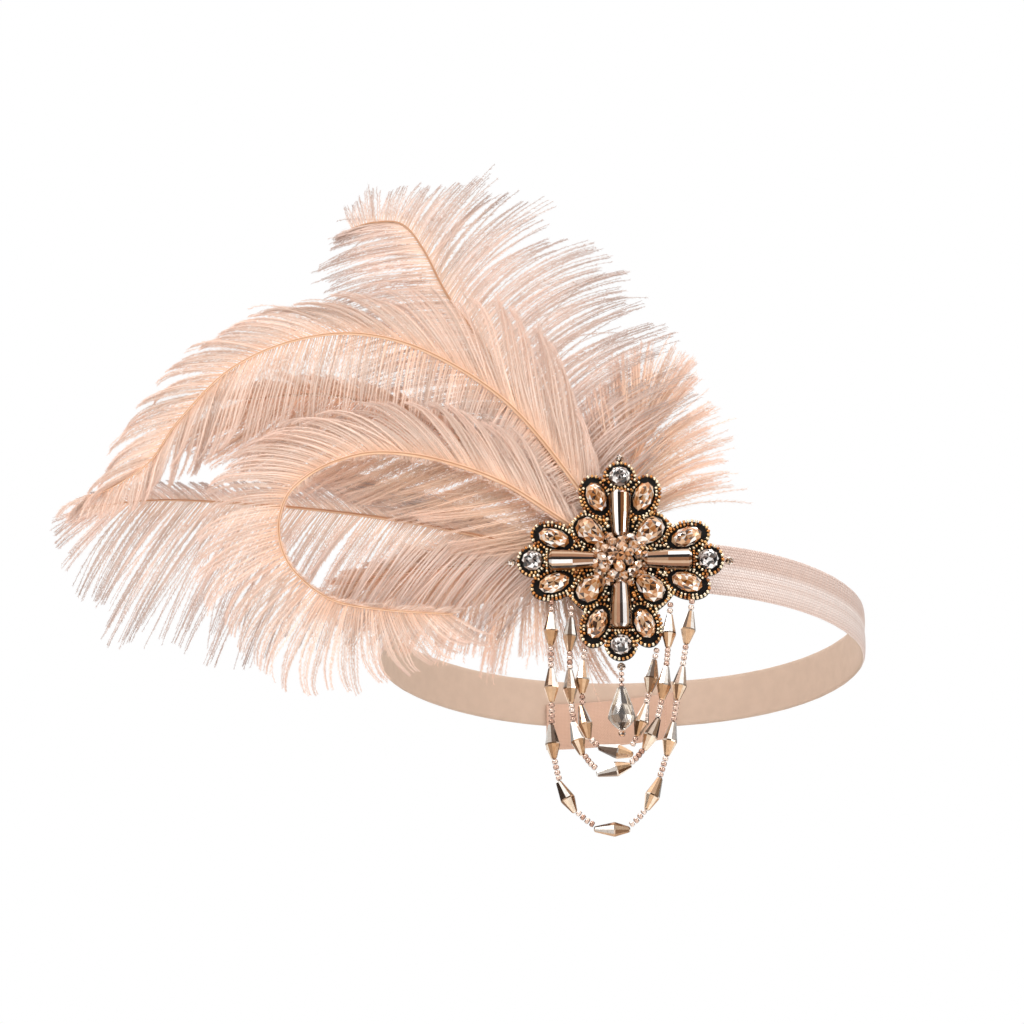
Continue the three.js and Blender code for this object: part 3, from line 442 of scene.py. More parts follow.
# Felt cross. Black felt cut to the outline of the stones' settings: four arms, each with a round end and a
# scallop on either side. The stones and beads are sewn onto its front.
FELT_THICKNESS, CORE_RADIUS = 1.5, 20.2
LOBE_CENTRE, LOBE_LENGTH, LOBE_WIDTH, LOBE_ANGLE = 22.4, 15.4, 10.4, 19.5
CHATON_CENTRE, CHATON_FELT_RADIUS = 28.0, 5.0
ARMS = {"right": 0, "top": 90, "left": 180, "bottom": 270}
LOBES = {f"{name}_{letter}": turn + way * LOBE_ANGLE
         for name, turn in ARMS.items() for letter, way in (("a", -1), ("b", 1))}
OVALS = [(CHATON_CENTRE, turn, CHATON_FELT_RADIUS, CHATON_FELT_RADIUS) for turn in ARMS.values()]
OVALS += [(LOBE_CENTRE, turn, LOBE_LENGTH / 2, LOBE_WIDTH / 2) for turn in LOBES.values()]


def outline_reach(angle):
    """How far the felt reaches at an angle: the furthest of the core's circle and the ovals, each met where
    the ray from the centre solves the oval's equation."""
    reach = np.full(np.shape(angle), CORE_RADIUS)
    for centre, turn, long, wide in OVALS:
        c, s = np.cos(angle - math.radians(turn)), np.sin(angle - math.radians(turn))
        a = (c / long) ** 2 + (s / wide) ** 2
        b = -2 * c * centre / long**2
        root = b * b - 4 * a * ((centre / long) ** 2 - 1)
        met = (-b + np.sqrt(np.maximum(root, 0))) / (2 * a)
        reach = np.maximum(reach, np.where(root > 0, met, 0))
    return reach


def on_felt(points):
    """The medallion's own points, across, up and out from the felt's back, as points of the whole."""
    return np.stack([points[..., 0], FELT_BACK - points[..., 2], points[..., 1] - MEDALLION_DROP], -1)


angle = np.linspace(0, 2 * math.pi, 720, endpoint=False)[:, None]
rim = outline_reach(angle)
rows = np.array([(0.0, 0.0), (0.5, 0.0), (1.0, 0.0), (1.0, 0.35), (1.0, 0.75), (1.0, 1.0), (0.75, 1.0),
                 (0.4, 1.0), (0.0, 1.0)])
inset = np.array([0, 0, 0.2, 0, 0, 0.2, 0, 0, 0])
felt = np.stack(np.broadcast_arrays(
    (rim * rows[:, 0] - inset) * np.cos(angle), (rim * rows[:, 0] - inset) * np.sin(angle),
    rows[:, 1] * FELT_THICKNESS), -1)
felt_cross = new_piece("felt_cross", *close_poles(on_felt(felt)), BLACK_FELT)
fit(felt_cross, "black_felt", "felt_backing")

# Gold bead edging. Metal-lined seed beads sewn in loops: along the felt's edge, round each scallop's stone,
# round the chatons and the large drops, and in a bar across each arm.
EDGING_BEAD, SMALL_BEAD, BEAD_PITCH, ARM_CLEARANCE = 1.3, 1.15, 1.03, 3.9
DIAGONALS = {name: turn + 45 for name, turn in ARMS.items()}
FACING = np.array([0.0, -1.0, 0.0])


def turned(x, y, turn_deg):
    """Distances across and up, turned about the medallion's middle."""
    c, s = math.cos(math.radians(turn_deg)), math.sin(math.radians(turn_deg))
    return x * c - y * s, x * s + y * c


def run_along(path):
    """How far each point of a path lies along it."""
    return np.concatenate([[0], np.cumsum(np.linalg.norm(np.diff(path, axis=0), axis=1))])


def even_places(path, pitch):
    """Places at an even pitch along a closed path of points, and the direction of the path there."""
    closed = np.vstack([path, path[:1]])
    run = run_along(closed)
    count = max(3, int(round(run[-1] / pitch)))
    at = np.arange(count) * run[-1] / count
    places = np.stack([np.interp(at, run, closed[:, k]) for k in range(closed.shape[1])], -1)
    ahead = np.stack([np.interp((at + 0.3) % run[-1], run, closed[:, k]) for k in range(closed.shape[1])], -1)
    return places, ahead - places


def oval_path(centre, turn_deg, long, wide, steps=180, point=0.0):
    """An oval on an arm, its long side along the arm. point narrows its inner end to a tear shape."""
    t = np.linspace(0, 2 * math.pi, steps, endpoint=False)
    x, y = centre + long * np.cos(t), wide * np.sin(t) * (1 + point * (np.cos(t) - 1) / 2)
    return np.stack(turned(x, y, turn_deg), -1)


bead_places, bead_ways, bead_sizes = [], [], []


def sew_beads(path, size, closed=True, keep=None, lift=0.0):
    """Adds beads of one size along a path on the felt's front, on their edges, leaving out those not kept."""
    places, ways = even_places(path, size * BEAD_PITCH)
    if keep is not None:
        kept = keep(places)
        places, ways = places[kept], ways[kept]
    height = np.full((len(places), 1), FELT_THICKNESS + GAP + size / 2 + lift)
    bead_places.append(np.hstack([places, height]))
    bead_ways.append(np.hstack([ways, np.zeros((len(ways), 1))]))
    bead_sizes.append(np.full(len(places), size))


def near_axis(places, turn_deg):
    """How far places lie from the line through the centre at an angle, and how far out along it."""
    c, s = math.cos(math.radians(turn_deg)), math.sin(math.radians(turn_deg))
    return np.abs(places[:, 1] * c - places[:, 0] * s), places[:, 0] * c + places[:, 1] * s


def clear_of_arms(places):
    """Whether a bead lies beside the arms' stones and not under them."""
    return ~np.any([near_axis(places, turn)[0] < ARM_CLEARANCE for turn in ARMS.values()], axis=0)


def inside_edging(places):
    """Whether a bead lies clear inside the edging."""
    reach = outline_reach(np.arctan2(places[:, 1], places[:, 0]))
    return np.hypot(*places.T) < reach - EDGING_BEAD - SMALL_BEAD / 2


BAR_BEADS, BAR_HALF, BAR_CENTRE = 9, 3.6, CHATON_CENTRE - 4.6
fine = np.linspace(0, 2 * math.pi, 2400, endpoint=False)
edge_radius = outline_reach(fine) - EDGING_BEAD * 0.3
sew_beads(np.stack([edge_radius * np.cos(fine), edge_radius * np.sin(fine)], -1), EDGING_BEAD * 0.98)
for turn in LOBES.values():
    sew_beads(oval_path(LOBE_CENTRE - 0.4, turn, 6.5, 4.1), SMALL_BEAD, keep=inside_edging)
for turn in ARMS.values():
    sew_beads(oval_path(CHATON_CENTRE, turn, 4.0, 4.0), SMALL_BEAD, keep=inside_edging, lift=0.5)
    sew_beads(oval_path(13.3, turn + 45, 6.6, 5.4, point=0.35), SMALL_BEAD, keep=clear_of_arms)
    # The bar of beads between the arm's tube and its round stone.
    bar = np.stack(turned(np.full(BAR_BEADS, BAR_CENTRE), np.linspace(-BAR_HALF, BAR_HALF, BAR_BEADS), turn),
                   -1)
    bead_places.append(np.hstack([bar, np.full((BAR_BEADS, 1), FELT_THICKNESS + 1.6)]))
    bead_ways.append(np.hstack([np.tile(bar[-1:] - bar[:1], (BAR_BEADS, 1)), np.zeros((BAR_BEADS, 1))]))
    bead_sizes.append(np.full(BAR_BEADS, 1.0))


def inside_oval(places, centre, turn_deg, long, wide):
    """Whether places lie in an oval on an arm: the squared shares of its half widths add to less than 1."""
    aside, along = near_axis(places, turn_deg)
    return ((along - centre) / long) ** 2 + (aside / wide) ** 2 < 1


# Loose seeds fill the felt between the stones, in rows of their own pitch that are a little uneven.
FILL_PITCH, FILL_REACH = 1.28, 19.6
chance = np.random.default_rng(11)
count = int(2 * FILL_REACH / FILL_PITCH) + 1
columns, rows_up = np.meshgrid(np.arange(count) - count // 2, np.arange(count) - count // 2)
fill = np.stack([(columns + 0.5 * (rows_up % 2)).ravel() * FILL_PITCH, rows_up.ravel() * FILL_PITCH * 0.87],
                -1)
fill += chance.uniform(-0.22, 0.22, fill.shape)
taken = (np.hypot(*fill.T) < 5.5) | (np.hypot(*fill.T) > FILL_REACH) | ~inside_edging(fill)
for turn in ARMS.values():
    aside, along = near_axis(fill, turn)
    taken |= (aside < 3.3) & (along > 7) & (along < 23.5)
    taken |= inside_oval(fill, 13.2, turn + 45, 6.3, 4.9)
for turn in LOBES.values():
    taken |= inside_oval(fill, LOBE_CENTRE - 0.5, turn, 6.9, 4.5)
fill = fill[~taken]
bead_places.append(np.hstack([fill, FELT_THICKNESS + GAP + 0.7 + chance.uniform(0, 1.3, (len(fill), 1))]))
bead_ways.append(np.hstack([chance.normal(size=fill.shape), np.zeros((len(fill), 1))]))
bead_sizes.append(np.where(chance.random(len(fill)) < 0.35, 1.55, SMALL_BEAD))
bead_shape, bead_faces = round_bead(hole=0.2)
places, ways, sizes = on_felt(np.vstack(bead_places)), np.vstack(bead_ways), np.concatenate(bead_sizes)
ways = np.stack([ways[:, 0], np.zeros(len(ways)), ways[:, 1]], -1)
gold_points, gold_blocks = scatter(bead_shape, bead_faces, places, frames_along(ways, FACING),
                                   sizes)


def make_facet_reflection_and_tone():
    """The colour of one facet or bead out of four by its own chance value, a painted reflection on a cut
    facet
    and a tone of its own on a bead: dark below the first threshold, bright above the second, and between the
    two warm at first and then middle, with soft steps."""
    group, given, out = new_group(
        "facet_reflection_and_tone",
        {"Chance": ("NodeSocketFloat", 0.5), "Dark": COLOUR, "Warm": COLOUR,
         "Middle": COLOUR, "Bright": COLOUR, "Dark Below": ("NodeSocketFloat", 0.3),
         "Bright Above": ("NodeSocketFloat", 0.8)},
        {"Colour": COLOUR},
    )

    def step(threshold):
        """A soft step from 0 to 1 at a threshold of the chance."""
        low = math_node(group, "SUBTRACT", threshold, 0.05)
        high = math_node(group, "ADD", threshold, 0.05)
        return add_node(group, "ShaderNodeMapRange", {0: given.outputs["Chance"], 1: low, 2: high}).outputs[0]

    first, last = given.outputs["Dark Below"], given.outputs["Bright Above"]
    between = math_node(group, "MULTIPLY", math_node(group, "ADD", first, last), 0.5)
    colour = mix_colours(group, step(first), given.outputs["Dark"], given.outputs["Warm"])
    colour = mix_colours(group, step(between), colour, given.outputs["Middle"])
    colour = mix_colours(group, step(last), colour, given.outputs["Bright"])
    group.links.new(colour, out.inputs["Colour"])
    return group


FACET_REFLECTION_AND_TONE = make_facet_reflection_and_tone()


def gleam_finish(name, dark, middle, bright, roughness, metallic, low=0.3, high=0.8, sockets=(), warm=None,
                 speck_dark=0.8):
    """Foiled glass or plated bead: each facet or bead has its own shade by its mark, a painted reflection
    from dark to bright on a cut facet and a tone of its own on a bead, with fine specks.
    """
    finish, tree, shader = new_finish(name, linear(*middle), {"Metallic": metallic, "Roughness": roughness,
                                                              **dict(sockets)})
    shade = use_group(tree, FACET_REFLECTION_AND_TONE, {
        "Chance": mark_value(tree, "chance"), "Dark": linear(*dark), "Warm": linear(*(warm or middle)),
        "Middle": linear(*middle), "Bright": linear(*bright), "Dark Below": low, "Bright Above": high})
    place = object_place(tree)
    speck = use_group(tree, MOTTLE, {
        "Place": place, "Scale": 1500.0, "Colour": WHITE, "Other Colour":
        (speck_dark, speck_dark * 0.96, speck_dark * 0.92, 1.0), "Value": roughness,
        "Spread": roughness * 0.8})
    tree.links.new(mix_colours(tree, 1.0, shade["Colour"], speck["Colour"], "MULTIPLY"),
                   shader.inputs["Base Color"])
    tree.links.new(speck["Value"], shader.inputs["Roughness"])
    return finish


GOLD_BEADS = gleam_finish("gold_beads", (150, 88, 34), (230, 184, 124), (255, 240, 210), 0.22, 0.75, 0.16,
                          0.6, {"Coat Weight": 0.6, "Coat Roughness": 0.08}, (214, 142, 66))
gold_edging = new_piece("gold_edging", gold_points, gold_blocks, GOLD_BEADS,
                        chance=np.repeat(chance.random(len(places)), len(bead_shape)))
fit(gold_edging, "gold_bead", "bead_edging")

# Baguettes. Long cut tubes of smoky champagne glass, one on each arm, narrower at the centre, with bevelled
# sides.
CLUSTER_RADIUS, STONE_SEAT = 7.4, FELT_THICKNESS + GAP
STONE_START = CLUSTER_RADIUS + GAP
CHATON_WIDTH = 2 * (CHATON_FELT_RADIUS - EDGING_BEAD - GAP)
BAGUETTE_WIDTH, BAGUETTE_HEIGHT = 7.2, 4.4
BAGUETTE_LENGTH = CHATON_CENTRE - CHATON_WIDTH / 2 - EDGING_BEAD - 2 * GAP - STONE_START
TUBE_SECTION = np.array([
    [-0.28, 0], [0.28, 0], [0.42, 0.12], [0.5, 0.36], [0.44, 0.62], [0.36, 0.8], [0.27, 0.9], [0.1, 0.98],
    [-0.04, 0.98], [-0.19, 0.93], [-0.3, 0.84], [-0.4, 0.7], [-0.47, 0.5], [-0.5, 0.32], [-0.42, 0.12]])
TUBE_STATIONS = np.array([(0, 0.42), (0.06, 0.72), (0.5, 0.93), (0.94, 1.0), (1.0, 0.66)])


def seat(points, distance, turn_deg):
    """Points of a stone that lies along its arm, moved out, turned to the arm and put on the felt."""
    across, up = turned(points[..., 0] + distance, points[..., 1], turn_deg)
    return on_felt(np.stack([across, up, points[..., 2] + STONE_SEAT], -1))


def tube_stone(length, width, height):
    """A tube along its own length: the section, scaled at each station about its middle height."""
    at, size = TUBE_STATIONS[:, 0][:, None], TUBE_STATIONS[:, 1][:, None]
    lift = height * (0.5 + (TUBE_SECTION[:, 1] - 0.5) * size)
    points = np.stack(np.broadcast_arrays(length * at, width * TUBE_SECTION[:, 0] * size, lift), -1)
    return points.reshape(-1, 3), close_ends(len(TUBE_STATIONS), len(TUBE_SECTION))


CUT_COAT = {"Coat Weight": 1.0, "Coat Roughness": 0.02}
SMOKY_CRYSTAL = gleam_finish("smoky_crystal", (40, 28, 22), (186, 152, 122), (246, 243, 244), 0.06, 0.4, 0.3,
                             0.76, CUT_COAT, (134, 84, 44), 0.96)
tube, tube_faces = tube_stone(BAGUETTE_LENGTH, BAGUETTE_WIDTH, BAGUETTE_HEIGHT)
# Painted reflections: each long facet keeps one shade from end to end, and the upper ones alternate, as
# reflections do on real tubes.
PAINTED_LONG_REFLECTIONS = np.array([0.2, 0.1, 0.6, 0.45, 0.15, 0.65, 1.0, 0.18, 0.42, 0.66, 0.46, 0.12, 0.62, 0.3, 0.1])
tube_chance = np.concatenate([np.tile(PAINTED_LONG_REFLECTIONS, len(TUBE_STATIONS) - 1), [0.2, 0.5]])
PAINTED_STREAK_FACET, SIDES = int(PAINTED_LONG_REFLECTIONS.argmax()), len(PAINTED_LONG_REFLECTIONS)
for name, turn in ARMS.items():
    painted_shades = np.clip(tube_chance + chance.normal(0, 0.05, len(tube_chance)), 0, 1)
    # The painted reflection of the window, a white streak, ends halfway on the two level tubes.
    if name in ("left", "right"):
        painted_shades[PAINTED_STREAK_FACET + SIDES] = 0.5
    baguette = new_piece(f"cut_baguette_{name}", seat(tube, STONE_START, turn), tube_faces, SMOKY_CRYSTAL,
                         smooth=False, chance=painted_shades)
    fit(baguette, "smoky_crystal", f"baguette_{name}")

# Chatons. Round brilliants in rings of small gold beads at the ends of the arms.
CHATON_HEIGHT = 3.2
CROWN = [(0.0, 0.55, 0.0), (0.3, 0.98, 0.0), (0.4, 1.0, 0.0), (0.66, 0.84, 0.5), (0.86, 0.62, 0.0),
         (1.0, 0.42, 0.5)]


def cut_stone(length, width, height, sides, point=0.0, crown=CROWN):
    """A faceted stone lying flat: rings of corners at the crown's heights and spreads, each turned by its
    share of a step, joined by flat three-sided facets. point narrows one end to a drop shape."""
    rings, blocks = [], []
    for row, (up, spread, shift) in enumerate(crown):
        turn = (np.arange(sides) + shift) / sides * 2 * math.pi
        narrow = 1 + point * (np.cos(turn) - 1) / 2
        rings.append(np.stack([length / 2 * spread * np.cos(turn), width / 2 * spread * narrow * np.sin(turn),
                               np.full(sides, height * up)], -1))
        if row:
            a, b = (row - 1) * sides + np.arange(sides), row * sides + np.arange(sides)
            a_next, b_next = np.roll(a, -1), np.roll(b, -1)
            if crown[row][2] >= crown[row - 1][2]:
                blocks += [np.stack([a, a_next, b], -1), np.stack([a_next, b_next, b], -1)]
            else:
                blocks += [np.stack([a, b_next, b], -1), np.stack([a, a_next, b_next], -1)]
    # The flat top is cut in a fan about its middle, a little raised, so that each part has its own painted
    # reflection.
    top, middle = (len(crown) - 1) * sides + np.arange(sides), len(crown) * sides
    rings.append([[0, 0, height * (crown[-1][0] + 0.02)]])
    ends = [np.arange(sides)[None, ::-1], np.stack([top, np.roll(top, -1), np.full(sides, middle)], -1)]
    return np.vstack(rings), blocks + ends


def face_total(blocks):
    """How many faces some blocks have together."""
    return sum(len(block) for block in blocks)


def set_stones(turns, name, node, stone, distance, finish, slot, most=1.0):
    """One cut stone, its shape and faces, at each angle. Each facet's painted reflection, from dark to
    bright, is chosen by a chance of up to most.
    """
    shape, blocks = stone
    for letter, turn in turns.items():
        piece = new_piece(f"{name}_{letter}", seat(shape, distance, turn), blocks, finish, smooth=False,
                          chance=chance.random(face_total(blocks)) * most)
        fit(piece, slot, f"{node}_{letter}")


CLEAR_CRYSTAL = gleam_finish("clear_crystal", (30, 27, 28), (176, 166, 164), (252, 251, 252), 0.05, 0.4, 0.34,
                             0.7, CUT_COAT, (108, 92, 84), 0.97)
set_stones(ARMS, "cut_chaton", "chaton", cut_stone(CHATON_WIDTH, CHATON_WIDTH, CHATON_HEIGHT, 10),
           CHATON_CENTRE, CLEAR_CRYSTAL, "smoky_crystal")

# Tip beads. Dark faceted round beads threaded at the points of the arms.
TIP_BEAD = 2.8
TIP_CENTRE = CHATON_CENTRE + CHATON_FELT_RADIUS + GAP + TIP_BEAD / 2
BALL = [(0.0, 0.3, 0.0), (0.18, 0.75, 0.5), (0.5, 1.0, 0.0), (0.82, 0.75, 0.5), (1.0, 0.3, 0.0)]
SMOKY_BEAD = gleam_finish("smoky_bead", (44, 32, 26), (190, 160, 134), (252, 246, 240), 0.06, 0.4, 0.3, 0.78,
                          CUT_COAT, (128, 88, 56), 0.96)
ball, ball_faces = cut_stone(TIP_BEAD, TIP_BEAD, TIP_BEAD, 9, crown=BALL)
ball[:, 2] -= STONE_SEAT + TIP_BEAD / 2 - FELT_THICKNESS / 2
set_stones(ARMS, "cut_tip_bead", "tip_bead", (ball, ball_faces), TIP_CENTRE, SMOKY_BEAD, "smoky_crystal", 0.9)

# Large drops. Pear-cut champagne stones between the arms, their points to the centre.
DIAGONAL_WIDTH, DIAGONAL_HEIGHT = 9.4, 4.6
DIAGONAL_LENGTH = CORE_RADIUS - EDGING_BEAD - GAP - STONE_START
CHAMPAGNE_CRYSTAL = gleam_finish("champagne_crystal", (62, 38, 24), (208, 166, 128), (251, 245, 240), 0.06,
                                 0.4, 0.2, 0.82, CUT_COAT, (176, 112, 56), 0.96)
pear = cut_stone(DIAGONAL_LENGTH, DIAGONAL_WIDTH, DIAGONAL_HEIGHT, 10, point=0.35)
set_stones(DIAGONALS, "cut_drop", "diagonal_stone", pear, STONE_START + DIAGONAL_LENGTH / 2,
           CHAMPAGNE_CRYSTAL, "champagne_crystal")

# Lobe stones. Small oval stones, one in each scallop beside an arm.
LOBE_STONE_HEIGHT = 3.0
LOBE_STONE_LENGTH = LOBE_LENGTH - 2 * (EDGING_BEAD + 1.3)
LOBE_STONE_WIDTH = LOBE_WIDTH - 2 * (EDGING_BEAD + 0.7)
oval_stone = cut_stone(LOBE_STONE_LENGTH, LOBE_STONE_WIDTH, LOBE_STONE_HEIGHT, 10)
set_stones(LOBES, "cut_lobe_stone", "lobe_stone", oval_stone, LOBE_CENTRE, CHAMPAGNE_CRYSTAL,
           "champagne_crystal")

# Centre cluster. Small faceted crystals, peach, brown and lilac, sewn close together over a low dome.
CLUSTER_HEIGHT, CLUSTER_CRYSTAL = 4.6, 4.3
cluster_shape, cluster_faces = cut_stone(CLUSTER_CRYSTAL, CLUSTER_CRYSTAL * 0.86, CLUSTER_CRYSTAL * 0.8, 7,
                                         crown=BALL)
cluster_shape[:, 2] -= CLUSTER_CRYSTAL * 0.4
cluster_origins = []
for count, out, up in ((1, 0.0, 1.1), (6, 0.42, 1.0), (11, 0.78, 0.62), (14, 1.08, 0.2)):
    for step in range(count):
        turn = (step + 0.3 + 0.3 * chance.random()) / count * 2 * math.pi
        cluster_origins.append((CLUSTER_RADIUS * out * math.cos(turn), CLUSTER_RADIUS * out * math.sin(turn),
                                CLUSTER_HEIGHT * up + chance.normal(0, 0.25)))
cluster_axes = np.linalg.qr(chance.normal(size=(len(cluster_origins), 3, 3)))[0]
cluster_axes *= np.sign(np.linalg.det(cluster_axes))[:, None, None]
cluster_points, cluster_blocks = scatter(cluster_shape, cluster_faces, np.array(cluster_origins),
                                         cluster_axes, 0.85 + 0.25 * chance.random(len(cluster_origins)))
cluster_points[:, 2] = np.maximum(cluster_points[:, 2], 0.05)
PEACH_CRYSTAL = gleam_finish("peach_crystal", (66, 42, 28), (196, 160, 132), (244, 232, 222), 0.07, 0.35,
                             0.22, 0.88, CUT_COAT, (182, 120, 64), 0.94)
centre_crystals = new_piece("centre_crystals", seat(cluster_points, 0.0, 0), cluster_blocks, PEACH_CRYSTAL,
                            smooth=False, chance=chance.random(face_total(cluster_blocks)))
fit(centre_crystals, "champagne_crystal", "centre_cluster")

# Swags. Three loops of thread hang from the scallops, threaded with pink-silver seed beads and long cut glass
# beads that are plated silver above and champagne below.
SEED_BEAD, STRING_DEPTH, SWAG_PITCH, SEED_PITCH = 2.0, FELT_BACK - FELT_THICKNESS / 2, 1.7, 1.62
LONG_LENGTH, LONG_WIDTH, LONG_WIDEST, LONG_SIDES, FIRST_BEAD_AT = 11.3, 4.7, 0.57, 10, 9.8
TIP_BOTTOM = -(TIP_CENTRE + TIP_BEAD / 2 + GAP) - MEDALLION_DROP
SWAG_HANG = 51.7
SWAGS = {
    "outer": (9, 2, (-0.978, 1.013), [
        (-0.99, 0.14), (-0.983, -0.2), (-0.976, -0.44), (-0.9, -0.66), (-0.72, -0.84), (-0.43, -0.965),
        (-0.12, -1), (0.16, -0.955), (0.4, -0.81), (0.63, -0.52), (0.8, -0.14), (0.933, 0.207)]),
    "middle": (7, 1, (-0.696, 0.705), [
        (-0.726, 0.137), (-0.708, -0.2), (-0.6, -0.46), (-0.36, -0.615), (-0.06, -0.615), (0.24, -0.53),
        (0.5, -0.3), (0.634, 0.029)]),
    "inner": (5, 0, (-0.518, 0.509), [
        (-0.55, -0.05), (-0.535, -0.29), (-0.4, -0.44), (-0.16, -0.49), (0.06, -0.495), (0.21, -0.4),
        (0.37, -0.16), (0.455, 0.044)]),
}


def smooth_path(knots, steps=40):
    """A curve through knots: between two of them it is the cubic whose slope at each knot is half the way
    from the knot before to the knot after, and the end knots are mirrored outwards for theirs."""
    knots = np.asarray(knots, float)
    knots = np.vstack([2 * knots[0] - knots[1], knots, 2 * knots[-1] - knots[-2]])
    t = np.linspace(0, 1, steps, endpoint=False)[None, :, None]
    p0, p1, p2, p3 = (knots[k:len(knots) - 3 + k, None, :] for k in range(4))
    square, cube = 2 * p0 - 5 * p1 + 4 * p2 - p3, 3 * p1 - p0 - 3 * p2 + p3
    curve = 0.5 * (2 * p1 + (p2 - p0) * t + square * t**2 + cube * t**3)
    return np.vstack([curve.reshape(-1, knots.shape[1]), knots[-2]])


def along_path(path, at):
    """Points and directions at distances along a path."""
    run = run_along(path)

    def point(distance):
        """The places at some distances."""
        return np.stack([np.interp(distance, run, path[:, k]) for k in range(path.shape[1])], -1)

    step = 0.4
    ahead, behind = point(np.minimum(at + step, run[-1])), point(np.maximum(at - step, 0))
    way = ahead - behind
    return point(at), way / np.linalg.norm(way, axis=-1, keepdims=True)


def path_length(path):
    """The sum of the distances between a path's points."""
    return float(np.linalg.norm(np.diff(path, axis=0), axis=1).sum())


def edge_below(across):
    """The lowest height at which the felt's outline still hangs over a place across."""
    angle = np.linspace(0, 2 * math.pi, 120, endpoint=False)
    reach = outline_reach(angle)
    near = np.abs(reach * np.cos(angle) - across) < 0.75 * SEED_BEAD
    return min(0.0, (reach * np.sin(angle))[near].min()) - MEDALLION_DROP - GAP


def long_bead(sides=LONG_SIDES):
    """A long bead about the third axis, from 0 to its length: rings at the two ends, just inside them, and at
    the widest place, joined by flat facets."""
    rings = [(0.0, 0.55), (0.03, 0.95), (LONG_WIDEST - 0.02, LONG_WIDTH / 2),
             (LONG_WIDEST + 0.02, LONG_WIDTH / 2), (0.97, 0.95), (1.0, 0.55)]
    turn = np.arange(sides) / sides * 2 * math.pi
    points = [np.stack([radius * np.cos(turn), radius * np.sin(turn), np.full(sides, at * LONG_LENGTH)], -1)
              for at, radius in rings]
    return np.vstack(points), close_ends(len(rings), sides)


seed_shape, seed_faces = round_bead(hole=0.34, around=9, rows=6)
long_shape, long_faces = long_bead()
# Of a long bead's faces, those above its widest place are plated silver.
long_upper = np.split(np.concatenate([np.repeat([1.0, 1.0, 0.5, 0.0, 0.0], LONG_SIDES), [1.0, 0.0]]),
                      [5 * LONG_SIDES, 5 * LONG_SIDES + 1])
SEED_FINISH = gleam_finish("pink_silver_seeds", (178, 138, 120), (222, 194, 180), (244, 226, 216), 0.14, 0.8,
                           0.12, 0.74, {"Coat Weight": 0.3, "Coat Roughness": 0.06}, (206, 172, 156))


def plated_finish():
    """Long bead: silver above and champagne below by its mark, each facet with its own painted reflection,
    from dark to bright.
    """
    finish, tree, shader = new_finish("plated_crystal", linear(214, 190, 164), {
        "Metallic": 0.7, "Roughness": 0.1, "Coat Weight": 0.3, "Coat Roughness": 0.03})
    facet = mark_value(tree, "chance")
    silver = use_group(tree, FACET_REFLECTION_AND_TONE, {"Chance": facet, "Dark": linear(92, 74, 62), "Warm": linear(
        192, 156, 124), "Middle": linear(186, 178, 172), "Bright": linear(240, 237, 234), "Dark Below": 0.2,
        "Bright Above": 0.68})
    gold = use_group(tree, FACET_REFLECTION_AND_TONE, {"Chance": facet, "Dark": linear(122, 88, 60), "Warm": linear(
        190, 146, 106), "Middle": linear(212, 174, 138), "Bright": linear(240, 222, 202), "Dark Below": 0.2,
        "Bright Above": 0.78})
    colour = mix_colours(tree, mark_value(tree, "upper"), gold["Colour"], silver["Colour"])
    place = object_place(tree)
    speck = use_group(tree, MOTTLE, {"Place": place, "Scale": 900.0, "Colour": WHITE, "Other Colour":
                                     (0.84, 0.8, 0.76, 1.0), "Value": 0.08, "Spread": 0.06})
    tree.links.new(mix_colours(tree, 1.0, colour, speck["Colour"], "MULTIPLY"), shader.inputs["Base Color"])
    tree.links.new(speck["Value"], shader.inputs["Roughness"])
    return finish


PLATED = plated_finish()
for name, (beads, layer, ends, between) in SWAGS.items():
    tops = [(across * LOBE_CENTRE, edge_below(across * LOBE_CENTRE)) for across in ends]
    hanging = [(across * LOBE_CENTRE, TIP_BOTTOM + up * SWAG_HANG) for across, up in between]
    knots = [(across, STRING_DEPTH - layer * SWAG_PITCH, up) for across, up in [tops[0], *hanging, tops[1]]]
    path = smooth_path(knots)
    total = path_length(path)
    pitch = (total - 2 * FIRST_BEAD_AT) / (beads - 1)
    first_half = np.arange(beads) < beads / 2
    starts = FIRST_BEAD_AT + np.arange(beads) * pitch - LONG_LENGTH / 2
    stops = starts + LONG_LENGTH
    middle, way = along_path(path, (starts + stops) / 2)
    way[~first_half] *= -1
    axes = frames_along(way, FACING)
    turned = chance.random(beads) * math.pi
    c, s = np.cos(turned)[:, None], np.sin(turned)[:, None]
    axes = np.stack([axes[:, 0] * c + axes[:, 1] * s, axes[:, 1] * c - axes[:, 0] * s, axes[:, 2]], 1)
    bead_points, bead_blocks = scatter(long_shape, long_faces, middle - way * LONG_LENGTH / 2, axes)
    facets = np.concatenate([np.tile(part, beads) for part in long_upper])
    long_beads = new_piece(f"long_beads_{name}", bead_points, bead_blocks, PLATED, smooth=False, upper=facets,
                           chance=chance.random(face_total(bead_blocks)))
    fit(long_beads, "string_bead")
    # Seed beads fill each stretch of thread between the long ones, side by side.
    stretches = list(zip([0.2, *stops], [*starts, total - 0.2]))
    at = np.concatenate([
        start + (np.arange(count) + 0.5) * (stop - start) / count
        for start, stop in stretches for count in [max(1, round((stop - start) / SEED_PITCH))]])
    seeds, seed_way = along_path(path, at)
    seed_points, seed_blocks = scatter(seed_shape, seed_faces, seeds, frames_along(seed_way, FACING),
                                       SEED_BEAD)
    seed_beads = new_piece(f"seed_beads_{name}", seed_points, seed_blocks, SEED_FINISH,
                           chance=np.repeat(chance.random(len(seeds)), len(seed_shape)))
    fit(seed_beads, "string_bead", f"swag_{name}")

